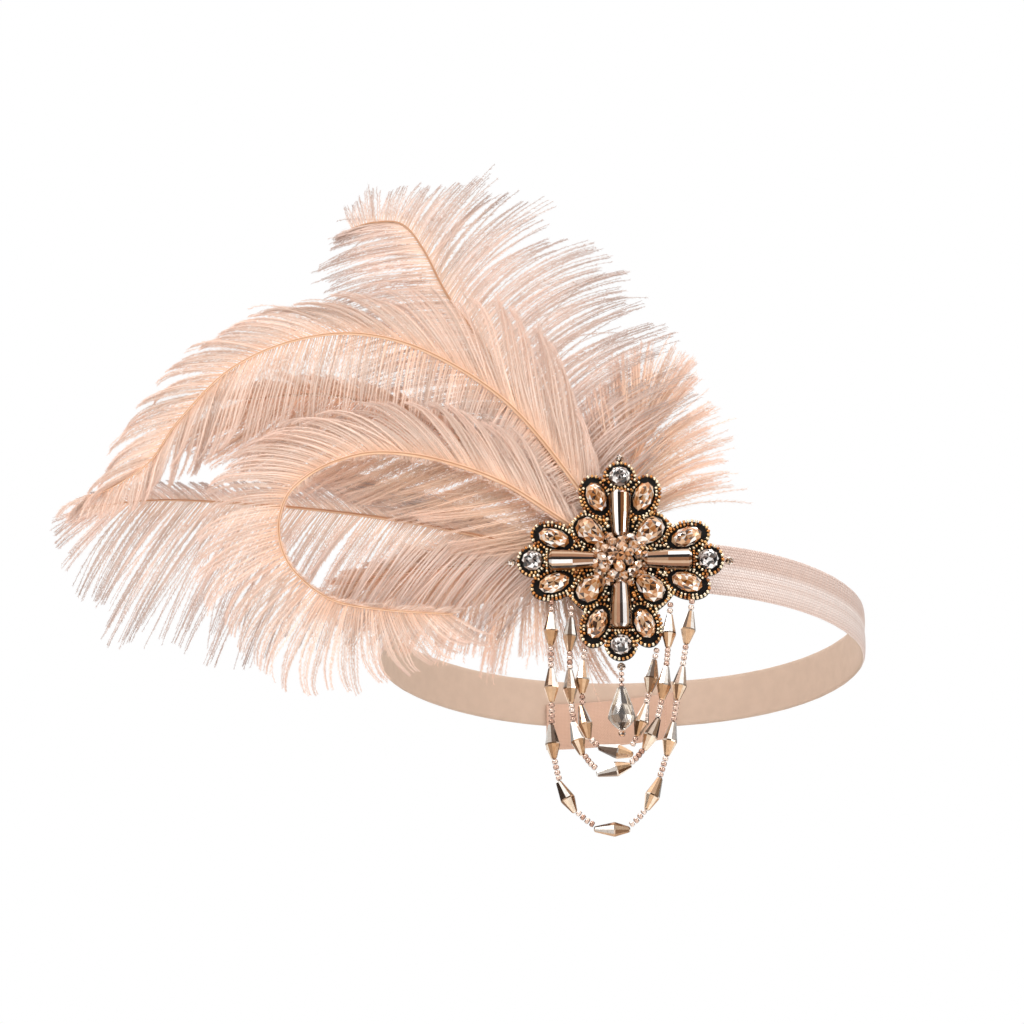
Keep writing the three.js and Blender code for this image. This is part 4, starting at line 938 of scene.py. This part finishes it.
# Centre drop. It hangs free from the lower point on its own thread: seed beads, a clear champagne drop
# crystal cut in twelve sides with its thread inside it, the thread's dark painted on its front facets, and a
# small end bead.
DROP_THREAD, DROP_LENGTH, DROP_WIDTH, DROP_WIDEST = 0.097 * SWAG_HANG, 0.267 * SWAG_HANG, 9.2, 0.72
END_BEAD, DROP_SEEDS, DROP_SEED_SIZE = 2.4, 3, 1.8


def hanging_stone(rows, sides, top):
    """A stone about a hanging thread: rings at depths below its top with their radii, each turned by half a
    step from the one above, joined by three-sided facets."""
    crown = [(-depth, radius, (row % 2) / 2) for row, (depth, radius) in enumerate(rows)]
    points, blocks = cut_stone(2.0, 2.0, 1.0, sides, crown=crown)
    blocks = [block[:, ::-1] for block in blocks]
    return np.stack([points[:, 0], STRING_DEPTH + points[:, 1], top + points[:, 2]], -1), blocks


crystal_top = TIP_BOTTOM - DROP_THREAD
crystal_rows = [(0.1, 1.3), (0.9, 1.6), (DROP_LENGTH * 0.45, 3.5),
                (DROP_LENGTH * DROP_WIDEST, DROP_WIDTH / 2 - 0.1),
                (DROP_LENGTH * 0.88, 3.0), (DROP_LENGTH - 0.1, 1.1)]
CLEAR_CHAMPAGNE, tree, shader = new_finish("clear_champagne", linear(242, 226, 206), {
    "Roughness": 0.03, "Transmission Weight": 0.85, "IOR": 1.52, "Coat Weight": 0.5})
place = object_place(tree)
tint = use_group(tree, FACET_REFLECTION_AND_TONE, {"Chance": mark_value(tree, "chance"), "Dark": linear(72, 58, 50),
                                      "Warm": linear(206, 178, 150), "Middle": linear(238, 222, 202),
                                      "Bright": linear(255, 250, 244), "Dark Below": 0.25})
haze = use_group(tree, MOTTLE, {"Place": place, "Scale": 700.0, "Colour": tint["Colour"],
                                "Other Colour": linear(230, 206, 180), "Value": 0.04, "Spread": 0.04})
tree.links.new(tint["Colour"], shader.inputs["Base Color"])
tree.links.new(haze["Value"], shader.inputs["Roughness"])
crystal_points, crystal_blocks = hanging_stone(crystal_rows, 12, crystal_top)
facet_middles = np.vstack([crystal_points[block].mean(1) for block in crystal_blocks])
# Painted shade and light: the facets in front of the thread are painted dark, where the thread would show
# through them, and those beside them lighter.
before = facet_middles[:, 1] < STRING_DEPTH - 0.5
painted_shades = np.where(np.abs(facet_middles[:, 0]) < 0.75, 0.0, 0.35 + 0.65 * chance.random(len(facet_middles)))
painted_shades = np.where(before, painted_shades, chance.random(len(facet_middles)))
drop_crystal = new_piece("drop_crystal", crystal_points, crystal_blocks, CLEAR_CHAMPAGNE, smooth=False,
                         chance=painted_shades)
fit(drop_crystal, "clear_crystal", "centre_drop", body="drop")

end_top = crystal_top - DROP_LENGTH
end_points, end_blocks = hanging_stone(
    [(0.05, 0.4), (0.5, 0.95), (1.2, 1.2), (1.9, 0.95), (END_BEAD - 0.05, 0.4)], 8, end_top)
end_bead = new_piece("drop_end_bead", end_points, end_blocks, CHAMPAGNE_CRYSTAL, smooth=False,
                     chance=chance.random(face_total(end_blocks)))
fit(end_bead, "clear_crystal", body="drop")

drop_at = np.linspace(0.75, DROP_THREAD - 0.6, DROP_SEEDS)
drop_seeds = np.stack([np.zeros(DROP_SEEDS), np.full(DROP_SEEDS, STRING_DEPTH), TIP_BOTTOM - drop_at], -1)
down = np.tile(np.array([[0.0, 0.0, -1.0]]), (DROP_SEEDS, 1))
drop_seed_points, drop_seed_blocks = scatter(
    seed_shape, seed_faces, drop_seeds, frames_along(down, FACING), DROP_SEED_SIZE)
drop_seed_beads = new_piece("drop_seed_beads", drop_seed_points, drop_seed_blocks, SEED_FINISH,
                            chance=np.repeat(chance.random(DROP_SEEDS), len(seed_shape)))
fit(drop_seed_beads, "string_bead", body="drop")


def thread_tube(path, radius, sides=6):
    """A thin tube along a path: rings of corners across the path's direction."""
    way = np.gradient(path, axis=0)
    axes = frames_along(way, FACING)
    turn = np.arange(sides) / sides * 2 * math.pi
    radius = np.broadcast_to(np.asarray(radius, float), len(path))[:, None, None]
    ring = np.cos(turn)[None, :, None] * axes[:, None, 0] + np.sin(turn)[None, :, None] * axes[:, None, 1]
    points = path[:, None, :] + radius * ring
    return points.reshape(-1, 3), close_ends(len(path), sides)


DARK_THREAD, tree, shader = new_finish("dark_thread", linear(74, 52, 40), {"Roughness": 0.6})
place = object_place(tree)
fray = use_group(tree, MOTTLE, {"Place": place, "Scale": 3000.0, "Colour": linear(60, 42, 32), "Other Colour":
                                linear(110, 80, 60), "Value": 0.6, "Spread": 0.2})
tree.links.new(fray["Colour"], shader.inputs["Base Color"])
THREAD_LENGTH, THREAD_RADIUS = 20.5, 0.28
hang = np.array([[0, STRING_DEPTH, TIP_BOTTOM + 0.1 - drop] for drop in np.linspace(0, THREAD_LENGTH, 12)])
thread_points, thread_faces = thread_tube(hang, THREAD_RADIUS)
drop_thread = new_piece("drop_thread", thread_points, thread_faces, DARK_THREAD)
fit(drop_thread, "string_bead", body="drop")

# Upper plume. The largest ostrich feather: its quill rises from the pad, arches over to the left and comes
# down at the far end. Its outer side is a close, combed vane of hooked locks, and its inner side hangs in
# loose strands.
LONGEST_PLUME, LAYER_PITCH = 200.0, 2.15
FAN_REACH = 0.55 * LONGEST_PLUME
QUILL_ROOT, QUILL_TIP = 1.7, 0.6
BARB_STEPS, QUILL_STEPS, QUILL_SIDES = 18, 160, 8


def sheet_depth(layer, forward, x, z):
    """The plume's depth at a place: its layer on the pad, then forward with an ease as it fans out."""
    out = np.clip((np.hypot(x, z + MEDALLION_DROP) - PAD_RADIUS) / FAN_REACH, 0, 1)
    return PAD_BACK - (layer + 0.5) * LAYER_PITCH - forward * LONGEST_PLUME * out**2 * (3 - 2 * out)


def smooth_step(value, low, high):
    """From 0 at low to 1 at high, easing in and out: the share's square times three less twice it."""
    share = np.clip((value - low) / (high - low), 0, 1)
    return share * share * (3 - 2 * share)


def quill_path(size, route):
    """The quill from the pad's edge, in the direction of its first knot, through the route's knots."""
    length = size * LONGEST_PLUME
    knots = np.array(route) * length
    root = knots[0] / np.linalg.norm(knots[0]) * (PAD_RADIUS + GAP)
    return smooth_path(np.vstack([root, knots])) - np.array([0, MEDALLION_DROP])


def make_strand_colour():
    """The colour of a strand: deep at its root, a painted warm shade where the strands crowd together, plain
    along it and pale or grey at its end, its barbules a little deeper than its own stem as painted shade, and
    each strand and each lock a little lighter or darker than the next."""
    group, given, out = new_group(
        "strand_colour",
        {"Along": ("NodeSocketFloat", 0.5), "Strand": ("NodeSocketFloat", 0.5),
         "Lock": ("NodeSocketFloat", 0.5),
         "Flue": ("NodeSocketFloat", 0.5), "Root": COLOUR, "Plain": COLOUR, "Tip": COLOUR},
        {"Colour": COLOUR},
    )
    # Painted warm shade: deeper towards the root, where the strands crowd together.
    root = add_node(group, "ShaderNodeMapRange", {0: given.outputs["Along"], 1: 0.0, 2: 0.3})
    tip = add_node(group, "ShaderNodeMapRange", {0: given.outputs["Along"], 1: 0.55, 2: 1.0})
    colour = mix_colours(group, root.outputs[0], given.outputs["Root"], given.outputs["Plain"])
    colour = mix_colours(group, tip.outputs[0], colour, given.outputs["Tip"])
    # Painted shade: the barbules are darker than their own stem.
    flue = mix_colours(group, given.outputs["Flue"], WHITE, (0.96, 0.88, 0.82, 1.0))
    colour = mix_colours(group, 1.0, colour, flue, "MULTIPLY")
    light = add_node(group, "ShaderNodeMapRange", {0: given.outputs["Strand"], 3: 0.8, 4: 1.06})
    lock = add_node(group, "ShaderNodeMapRange", {0: given.outputs["Lock"], 3: 0.9, 4: 1.04})
    shade = math_node(group, "MULTIPLY", light.outputs[0], lock.outputs[0])
    grey = add_node(group, "ShaderNodeCombineColor", {0: shade, 1: shade, 2: shade})
    group.links.new(mix_colours(group, 1.0, colour, grey.outputs[0], "MULTIPLY"), out.inputs["Colour"])
    return group


STRAND_COLOUR = make_strand_colour()


def plume_finish(name, root, plain, tip):
    """Dyed ostrich flue: soft and matte with a faint sheen, coloured along each strand, with painted shade at
    the roots and on the barbules.
    """
    finish, tree, shader = new_finish(name, linear(*plain), {
        "Roughness": 0.7, "Sheen Weight": 0.15, "Sheen Roughness": 0.5, "Specular IOR Level": 0.2})
    colour = use_group(tree, STRAND_COLOUR, {
        "Along": mark_value(tree, "along"), "Strand": mark_value(tree, "strand"),
        "Lock": mark_value(tree, "lock"),
        "Flue": mark_value(tree, "flue"), "Root": linear(*root), "Plain": linear(*plain),
        "Tip": linear(*tip)})
    tree.links.new(colour["Colour"], shader.inputs["Base Color"])
    return finish


def quill_finish(name, light, dark):
    """Quill: waxy and smooth, with fine streaks and a brown line along its underside."""
    finish, tree, shader = new_finish(name, linear(*light), {
        "Roughness": 0.3, "Coat Weight": 0.3, "Coat Roughness": 0.2})
    streak = add_node(tree, "ShaderNodeTexNoise", {"Vector": object_place(tree),
                                                   "Scale": 260.0, "Detail": 3.0})
    colour = mix_colours(tree, streak.outputs["Fac"], linear(*light), linear(*dark))
    colour = mix_colours(tree, mark_value(tree, "under"), colour, linear(170, 112, 74))
    tree.links.new(colour, shader.inputs["Base Color"])
    return finish


PEACH_QUILL = quill_finish("peach_quill", (250, 216, 186), (236, 190, 154))
TAN_QUILL = quill_finish("tan_quill", (222, 184, 154), (196, 150, 118))


def feather(name, finish, size, layer, forward, route, vane, seed, barbs=1.0, barbules=4.2, barbule=1.7,
            lock_size=7, pull=0.6, pull_from=0.35, spread=2.0, curl=0.0, droop=0.0, loose=0.04, ragged=0.12,
            shaft=0.36, wander=1.5, turn_spread=1.0, barbule_foot=0.13, rib=PEACH_QUILL):
    """One ostrich plume as a quill and a vane, in two pieces.

    A barb starts on the quill and its heading turns evenly from the vane row's first to its last, by the
    length of the row. Barbs are gathered in locks: along each barb the points are pulled towards the lock's
    mean barb, the more the nearer to the end. Each barb is a thin ribbon that carries short pointed barbules
    on both sides, which lean forward. The sheet's depth is that of its layer, and locks and barbs leave it by
    up to spread. barbs is their number for a millimetre of quill on each side, and barbules for a millimetre
    of barb a side."""
    rng = np.random.default_rng(seed)
    quill = quill_path(size, route)
    quill_length = path_length(quill)
    length = size * LONGEST_PLUME
    table = np.array(vane, float)
    paths, alongs, strands, locks, lengths = [], [], [], [], []
    for side, way in ((0, 1), (1, -1)):
        count = int(quill_length * barbs)
        at = np.sort(np.clip((np.arange(count) + rng.uniform(-0.4, 0.4, count) + 0.5) / count, 0, 1))
        base, tangent = along_path(quill, at * quill_length)
        radius = (QUILL_ROOT + (QUILL_TIP - QUILL_ROOT) * at) / 2
        base = base + way * np.stack([tangent[:, 1], -tangent[:, 0]], -1) * radius[:, None] * 0.8
        share, start, end = (np.interp(at, table[:, 0], table[:, 1 + side * 3 + k]) for k in range(3))
        # Uneven locks: each barb belongs to the lock whose number it has reached.
        sizes = rng.integers(max(2, lock_size - 3), lock_size + 4, count)
        lock = np.searchsorted(np.cumsum(sizes), np.arange(count), side="right")
        total = lock.max() + 1
        lock_length = 1 - ragged * rng.random(total) ** 1.5
        lock_turn, lock_curl = rng.normal(0, wander, total), curl * (0.5 + rng.random(total))
        lock_out = rng.normal(0, 1.0, total)
        reach = share * length * lock_length[lock] * (1 - 0.07 * rng.random(count))
        stray = rng.random(count) < loose
        reach = np.where(stray, reach * rng.uniform(0.9, 1.12, count), reach)
        heading = start + lock_turn[lock] + rng.normal(0, 0.5 * turn_spread, count) + np.where(
            stray, rng.normal(0, 7, count), 0)
        u = (np.arange(BARB_STEPS) + 0.5) / BARB_STEPS
        hook = lock_curl[lock][:, None] * np.clip(u - 0.55, 0, 1) ** 2 * 220 * way
        turn = (end - start)[:, None] * u + (hook + rng.normal(0, 2 * turn_spread, count)[:, None] * u)
        bearing = np.radians(heading[:, None] + turn)
        step = (reach / BARB_STEPS)[:, None]
        x = base[:, :1] + np.cumsum(np.hstack([np.zeros((count, 1)), step * np.cos(bearing)]), 1)
        z = base[:, 1:] + np.cumsum(np.hstack([np.zeros((count, 1)), step * np.sin(bearing)]), 1)
        v = np.linspace(0, 1, BARB_STEPS + 1)[None, :]
        out = spread * (lock_out[lock][:, None] * v**1.3 + rng.normal(0, 0.35, count)[:, None] * v)
        out = out + droop * v**1.6 + 0.25 * spread * np.sin(v * 5 + lock[:, None] * 1.7) * v
        points = np.stack([x, out, z], -1)
        mean = np.zeros((total, BARB_STEPS + 1, 3))
        np.add.at(mean, lock, points)
        mean /= np.bincount(lock, minlength=total)[:, None, None]
        hold = pull * smooth_step(v, pull_from, 1.0)[..., None] * np.where(stray, 0.0, 1.0)[:, None, None]
        points = points + (mean[lock] - points) * hold
        points[..., 1] = sheet_depth(layer, forward, points[..., 0], points[..., 2]) - points[..., 1]
        paths.append(points)
        alongs.append(np.broadcast_to(v, (count, BARB_STEPS + 1)))
        strands.append(rng.random(count))
        locks.append(rng.random(total)[lock])
        lengths.append(reach)
    points, along = np.concatenate(paths), np.concatenate(alongs)
    strand, lock, reach = np.concatenate(strands), np.concatenate(locks), np.concatenate(lengths)
    way = np.gradient(points, axis=1)
    way /= np.maximum(np.linalg.norm(way, axis=-1, keepdims=True), 1e-9)
    across = np.stack([way[..., 2], rng.normal(0, 0.2, way.shape[:2]), -way[..., 0]], -1)
    across /= np.linalg.norm(across, axis=-1, keepdims=True)
    width = shaft * (1 - 0.7 * along)[..., None] / 2
    ribbon = np.stack([points - across * width, points + across * width], 2)
    count, rows = points.shape[:2]
    faces = grid_faces(count * rows, 2)
    faces = faces.reshape(-1, 1, 4)[(np.arange(count * rows - 1) % rows) != rows - 1].reshape(-1, 4)
    # Barbules: for each, its barb, its place along it and its side.
    number = np.maximum(2, (reach * barbules).astype(int)) * 2
    barb = np.repeat(np.arange(count), number)
    place = rng.random(len(barb)) ** 0.9 * (rows - 1.001)
    k = place.astype(int)
    t = (place - k)[:, None]
    foot = points[barb, k] * (1 - t) + points[barb, k + 1] * t
    forward_way, side_way = way[barb, k], across[barb, k] * np.where(np.arange(len(barb)) % 2, 1, -1)[:, None]
    share = place / (rows - 1)
    lean = np.radians(rng.uniform(16, 42, len(barb)))[:, None]
    long = barbule * (0.55 + 0.6 * rng.random(len(barb))) * (0.45 + 0.55 * smooth_step(share, 0.0, 0.2))
    long = (long * (1 - 0.55 * share**2))[:, None]
    # The barbules start just behind their barb's own face, so that it shows as a pale line.
    foot = foot + np.array([0, 0.08, 0])
    depth = np.stack([np.zeros(len(barb)), rng.uniform(-0.1, 0.5, len(barb)), np.zeros(len(barb))], -1)
    tip = foot + long * (np.cos(lean) * forward_way + np.sin(lean) * (side_way + depth))
    half_foot = barbule_foot * (1 - 0.4 * share)[:, None] * forward_way
    fringe = np.stack([foot - half_foot, foot + half_foot, tip], 1)
    base_count = count * rows * 2
    fringe_faces = (base_count + np.arange(len(barb) * 3)).reshape(-1, 3)
    flip = np.arange(len(barb)) % 2 == 0
    fringe_faces[flip] = fringe_faces[flip][:, ::-1]
    all_points = np.vstack([ribbon.reshape(-1, 3), fringe.reshape(-1, 3)])
    spot = rng.normal(0, 0.12, len(barb))
    piece = new_piece(
        name, all_points, [faces, fringe_faces], finish, smooth=False,
        along=np.concatenate([np.repeat(along.ravel(), 2), np.repeat(share, 3)]),
        strand=np.concatenate([np.repeat(strand, rows * 2),
                               np.clip(np.repeat(strand[barb] + spot, 3), 0, 1)]),
        lock=np.concatenate([np.repeat(lock, rows * 2), np.repeat(lock[barb], 3)]),
        flue=np.concatenate([np.zeros(count * rows * 2), np.ones(len(barb) * 3)]))
    fit(piece, "plume", name.replace("vane", "plume"))
    # The quill, a little flattened and thinner towards its end.
    middle = along_path(quill, np.linspace(0, 1, QUILL_STEPS) * quill_length)[0]
    depth_at = sheet_depth(layer, forward, middle[:, 0], middle[:, 1])
    spine = np.stack([middle[:, 0], depth_at - 0.25, middle[:, 1]], -1)
    thick = (QUILL_ROOT + (QUILL_TIP - QUILL_ROOT) * np.linspace(0, 1, QUILL_STEPS)) / 2
    tube_points, tube_blocks = thread_tube(spine, thick, QUILL_SIDES)
    under = np.tile((np.arange(QUILL_SIDES) == 2).astype(float), QUILL_STEPS)
    quill_piece = new_piece(name.replace("vane", "quill"), tube_points, tube_blocks, rib, under=under)
    fit(quill_piece, "plume")


BLUSH_PLUME = plume_finish("blush_plume", (236, 192, 164), (242, 216, 201), (236, 209, 196))
feather(
    "vane_upper", BLUSH_PLUME, size=1.0, layer=3, forward=0.045, seed=21, barbs=1.4, curl=0.5,
    droop=1.0, barbules=4.5, barbule=1.9, pull=0.5, pull_from=0.5,
    route=[(-0.07, 0.135), (-0.178, 0.268), (-0.305, 0.351), (-0.42, 0.383), (-0.53, 0.371), (-0.63, 0.323),
           (-0.71, 0.237), (-0.755, 0.167), (-0.81, 0.127), (-0.85, 0.11)],
    vane=[(0, 0.1, 88, 95, 0.02, 190, 200), (0.08, 0.27, 94, 99, 0.04, 200, 215),
          (0.2, 0.225, 104, 92, 0.07, 235, 250),
          (0.32, 0.18, 114, 128, 0.13, 255, 266), (0.45, 0.165, 132, 176, 0.17, 256, 268),
          (0.56, 0.145, 150, 188, 0.2, 252, 267), (0.68, 0.125, 168, 200, 0.2, 248, 266),
          (0.8, 0.135, 188, 218, 0.14, 250, 265), (0.9, 0.13, 200, 228, 0.08, 256, 266),
          (1, 0.08, 200, 232, 0.05, 232, 262)])

# Lower plume. It curls right round in a C in front of the others: the outer side is a dense, pale vane of
# hooked locks, the inner side is stripped nearly bare, and the quill's end fans out under the curl.
feather(
    "vane_lower", BLUSH_PLUME, size=0.95, layer=4, forward=0.065, seed=22, barbs=1.8, curl=0.6,
    droop=1.5, barbules=4.9, barbule=1.7, pull=0.5, pull_from=0.5,
    route=[(-0.1, 0.078), (-0.2, 0.141), (-0.31, 0.176), (-0.405, 0.184), (-0.475, 0.167), (-0.53, 0.135),
           (-0.562, 0.095), (-0.57, 0.035), (-0.546, -0.025), (-0.483, -0.075), (-0.4, -0.09),
           (-0.28, -0.094)],
    vane=[(0, 0.03, 112, 108, 0.01, 215, 200), (0.08, 0.18, 112, 122, 0.01, 215, 200),
          (0.25, 0.16, 120, 140, 0.008, 240, 230), (0.38, 0.17, 135, 180, 0.008, 250, 240),
          (0.5, 0.18, 155, 196, 0.008, 270, 260), (0.6, 0.165, 185, 208, 0.008, 300, 300),
          (0.7, 0.18, 212, 240, 0.008, 330, 330), (0.8, 0.185, 245, 262, 0.01, 380, 370),
          (0.9, 0.12, 290, 308, 0.02, 400, 380), (1, 0.09, 325, 335, 0.03, 390, 375)])

# Middle plume. It lies behind the two large ones and fills the space between them.
# Its colours are warmer and deeper than the blush plume's: partly their own tone, partly painted warm shade.
DEEP_PLUME = plume_finish("deep_plume", (244, 188, 152), (245, 211, 187), (241, 211, 195))
feather(
    "vane_mid", DEEP_PLUME, size=0.675, layer=2, forward=0.025, seed=23, barbs=2.0, spread=2.4,
    droop=-1.0, barbules=3.2, barbule=2.9, turn_spread=3.0, pull=0.4, rib=TAN_QUILL,
    route=[(-0.222, 0.21), (-0.374, 0.309), (-0.514, 0.382), (-0.7, 0.43), (-0.9, 0.42)],
    vane=[(0, 0.1, 110, 110, 0.3, 184, 186), (0.25, 0.13, 118, 128, 0.34, 202, 192),
          (0.6, 0.13, 138, 150, 0.34, 222, 205), (0.85, 0.13, 155, 170, 0.3, 228, 212),
          (1, 0.12, 170, 185, 0.22, 205, 208)])

# Top plume. The rearmost of the tall ones, straight and open, its barbs thin and greyish towards their ends.
ASHEN_PLUME = plume_finish("ashen_plume", (236, 202, 180), (234, 209, 197), (194, 174, 167))
feather(
    "vane_top", ASHEN_PLUME, size=0.75, layer=1, forward=-0.03, seed=24, barbs=2.3, lock_size=6, pull=0.45,
    pull_from=0.5, spread=2.6, ragged=0.28, loose=0.14, barbules=2.5, barbule=1.9, turn_spread=2.4,
    wander=2.0, rib=TAN_QUILL,
    route=[(-0.173, 0.3), (-0.29, 0.517), (-0.375, 0.646), (-0.431, 0.759), (-0.478, 0.818), (-0.54, 0.823),
           (-0.589, 0.809)],
    vane=[(0, 0.2, 54, 42, 0.1, 160, 172), (0.12, 0.38, 60, 24, 0.16, 163, 180),
          (0.25, 0.4, 60, 18, 0.22, 166, 188),
          (0.5, 0.39, 60, 8, 0.32, 172, 204), (0.68, 0.33, 62, 26, 0.3, 176, 206),
          (0.8, 0.22, 64, 44, 0.25, 180, 208),
          (0.9, 0.13, 74, 62, 0.15, 186, 208), (1, 0.05, 120, 112, 0.06, 205, 212)])

# Left plume. It lies nearly flat to the left, and its lower barbs hang straight in thin separate strands.
feather(
    "vane_left", ASHEN_PLUME, size=0.9, layer=1, forward=0.02, seed=25, barbs=1.8, lock_size=6, pull=0.5,
    spread=1.8, ragged=0.24, loose=0.12, barbules=2.7, barbule=1.7, turn_spread=2.0, wander=2.0,
    rib=TAN_QUILL,
    route=[(-0.214, 0.054), (-0.3, 0.073), (-0.39, 0.09), (-0.54, 0.11), (-0.72, 0.126), (-0.84, 0.13),
           (-0.965, 0.118)],
    vane=[(0, 0.2, 150, 172, 0.2, 215, 236), (0.12, 0.27, 142, 172, 0.24, 218, 240),
          (0.28, 0.29, 138, 168, 0.28, 226, 244), (0.42, 0.22, 138, 160, 0.3, 234, 250),
          (0.58, 0.1, 134, 148, 0.35, 236, 252),
          (0.75, 0.06, 135, 145, 0.34, 232, 246), (0.88, 0.06, 140, 150, 0.22, 228, 246),
          (1, 0.03, 160, 170, 0.06, 205, 212)])

# Right fan. A short, full feather behind the cross, whose soft barbs spread up and to the right.
feather(
    "vane_right", DEEP_PLUME, size=0.45, layer=0, forward=-0.025, seed=26, barbs=4.2, lock_size=8, pull=0.45,
    spread=3.2, ragged=0.24, loose=0.2, barbules=2.6, barbule=2.4, turn_spread=4.0, wander=3.0,
    route=[(0.02, 0.27), (0.045, 0.4), (0.085, 0.55)],
    vane=[(0, 0.46, 42, 6, 0.42, 128, 112), (0.3, 0.48, 48, 16, 0.46, 120, 102),
          (0.6, 0.45, 56, 32, 0.44, 108, 94),
          (0.85, 0.4, 66, 52, 0.4, 94, 86), (1, 0.37, 76, 68, 0.37, 84, 76)])

# Lower fluff. A short downy feather under the others, its soft barbs hanging down behind the cross's left
# arm.
feather(
    "vane_fluff", DEEP_PLUME, size=0.5, layer=0, forward=-0.01, seed=27, barbs=3.2, lock_size=8, pull=0.45,
    spread=2.6, ragged=0.25, loose=0.2, barbules=2.6, barbule=2.4, turn_spread=4.0,
    route=[(-0.36, 0.03), (-0.55, 0.02), (-0.72, 0.0), (-0.88, -0.03)],
    vane=[(0, 0.12, 140, 150, 0.42, 268, 312), (0.08, 0.16, 140, 152, 0.42, 272, 292),
          (0.2, 0.2, 144, 158, 0.4, 264, 270), (0.45, 0.2, 150, 168, 0.38, 246, 252),
          (0.7, 0.17, 155, 172, 0.3, 230, 238), (1, 0.1, 178, 182, 0.16, 205, 215)])

# The studio. A plain pale floor well below the hanging piece, a white surround, and soft lights from above.
FLOOR_HEIGHT, FLOOR_SIZE = -500.0, 20000.0
corner = FLOOR_SIZE / 2
floor_points = np.array([(-corner, -corner, FLOOR_HEIGHT), (corner, -corner, FLOOR_HEIGHT),
                         (corner, corner, FLOOR_HEIGHT), (-corner, corner, FLOOR_HEIGHT)])
PALE_FLOOR, tree, shader = new_finish("pale_floor", linear(244, 243, 241), {"Roughness": 0.8})
floor = new_piece("floor", floor_points, np.array([[0, 1, 2, 3]]), PALE_FLOOR, smooth=False)

world = bpy.data.worlds.new("studio")
world.use_nodes = True
bpy.context.scene.world = world
sky = world.node_tree
sky.nodes.clear()
ray = add_node(sky, "ShaderNodeLightPath")
direction = add_node(sky, "ShaderNodeTexCoord").outputs["Generated"]
upward = add_node(sky, "ShaderNodeSeparateXYZ", {0: direction})
# What polished things mirror: a bright ceiling, a dim room at eye height, and a soft strip of window light.
ceiling = add_node(sky, "ShaderNodeMapRange", {0: upward.outputs[2], 1: 0.25, 2: 0.6, 3: 0.12, 4: 1.5})
strip = add_node(sky, "ShaderNodeMapRange", {0: math_node(sky, "ABSOLUTE", math_node(
    sky, "ADD", upward.outputs[0], 0.45)), 1: 0.1, 2: 0.22, 3: 1.4, 4: 0.0})
mirrored = math_node(sky, "ADD", ceiling.outputs[0], strip.outputs[0])
plain = add_node(sky, "ShaderNodeBackground", {"Color": (1.0, 0.98, 0.955, 1.0), "Strength": 0.9})
seen = add_node(sky, "ShaderNodeBackground", {"Color": WHITE, "Strength": 1.0})
glossy = add_node(sky, "ShaderNodeBackground", {"Color": (1.0, 0.98, 0.95, 1.0), "Strength": mirrored})
first = add_node(sky, "ShaderNodeMixShader", {0: ray.outputs["Is Glossy Ray"], 1: plain.outputs[0],
                                              2: glossy.outputs[0]})
both = add_node(sky, "ShaderNodeMixShader", {0: ray.outputs["Is Camera Ray"], 1: first.outputs[0],
                                             2: seen.outputs[0]})
add_node(sky, "ShaderNodeOutputWorld", {"Surface": both.outputs[0]})


def soft_light(name, place, size, power):
    """A square softbox that faces the piece."""
    light = bpy.data.lights.new(name, "AREA")
    light.size, light.energy = size, power
    lamp = bpy.data.objects.new(name, light)
    lamp.location = place
    lamp.rotation_euler = (-Vector(place)).to_track_quat("-Z", "Y").to_euler()
    bpy.context.scene.collection.objects.link(lamp)


soft_light("key", (-0.9, -1.3, 1.3), 0.7, 16.0)
soft_light("fill", (1.2, -1.1, 0.2), 0.6, 6.0)
soft_light("top", (0.1, 0.5, 1.4), 0.8, 9.0)

# The camera, 1.3 m off and 16 degrees below the piece, turned so that the piece lies where the photograph has
# it.
DISTANCE, ELEVATION, FOCAL_PIXELS, FRAME_PIXELS, SENSOR = 1.3, math.radians(-16), 3770.0, 1024.0, 36.0
ORIGIN_RIGHT, ORIGIN_DOWN = 108.0, 129.0
ahead = Vector((0, math.cos(ELEVATION), -math.sin(ELEVATION)))
above = Vector((0, math.sin(ELEVATION), math.cos(ELEVATION)))
aim = ahead * FOCAL_PIXELS - Vector((1, 0, 0)) * ORIGIN_RIGHT + above * ORIGIN_DOWN
lens = bpy.data.cameras.new("camera")
lens.sensor_width, lens.lens = SENSOR, FOCAL_PIXELS / FRAME_PIXELS * SENSOR
camera = bpy.data.objects.new("camera", lens)
camera.location = -ahead * DISTANCE
camera.rotation_euler = aim.to_track_quat("-Z", "Y").to_euler()
bpy.context.scene.collection.objects.link(camera)
bpy.context.scene.camera = camera
bpy.context.scene.view_settings.view_transform = "Standard"
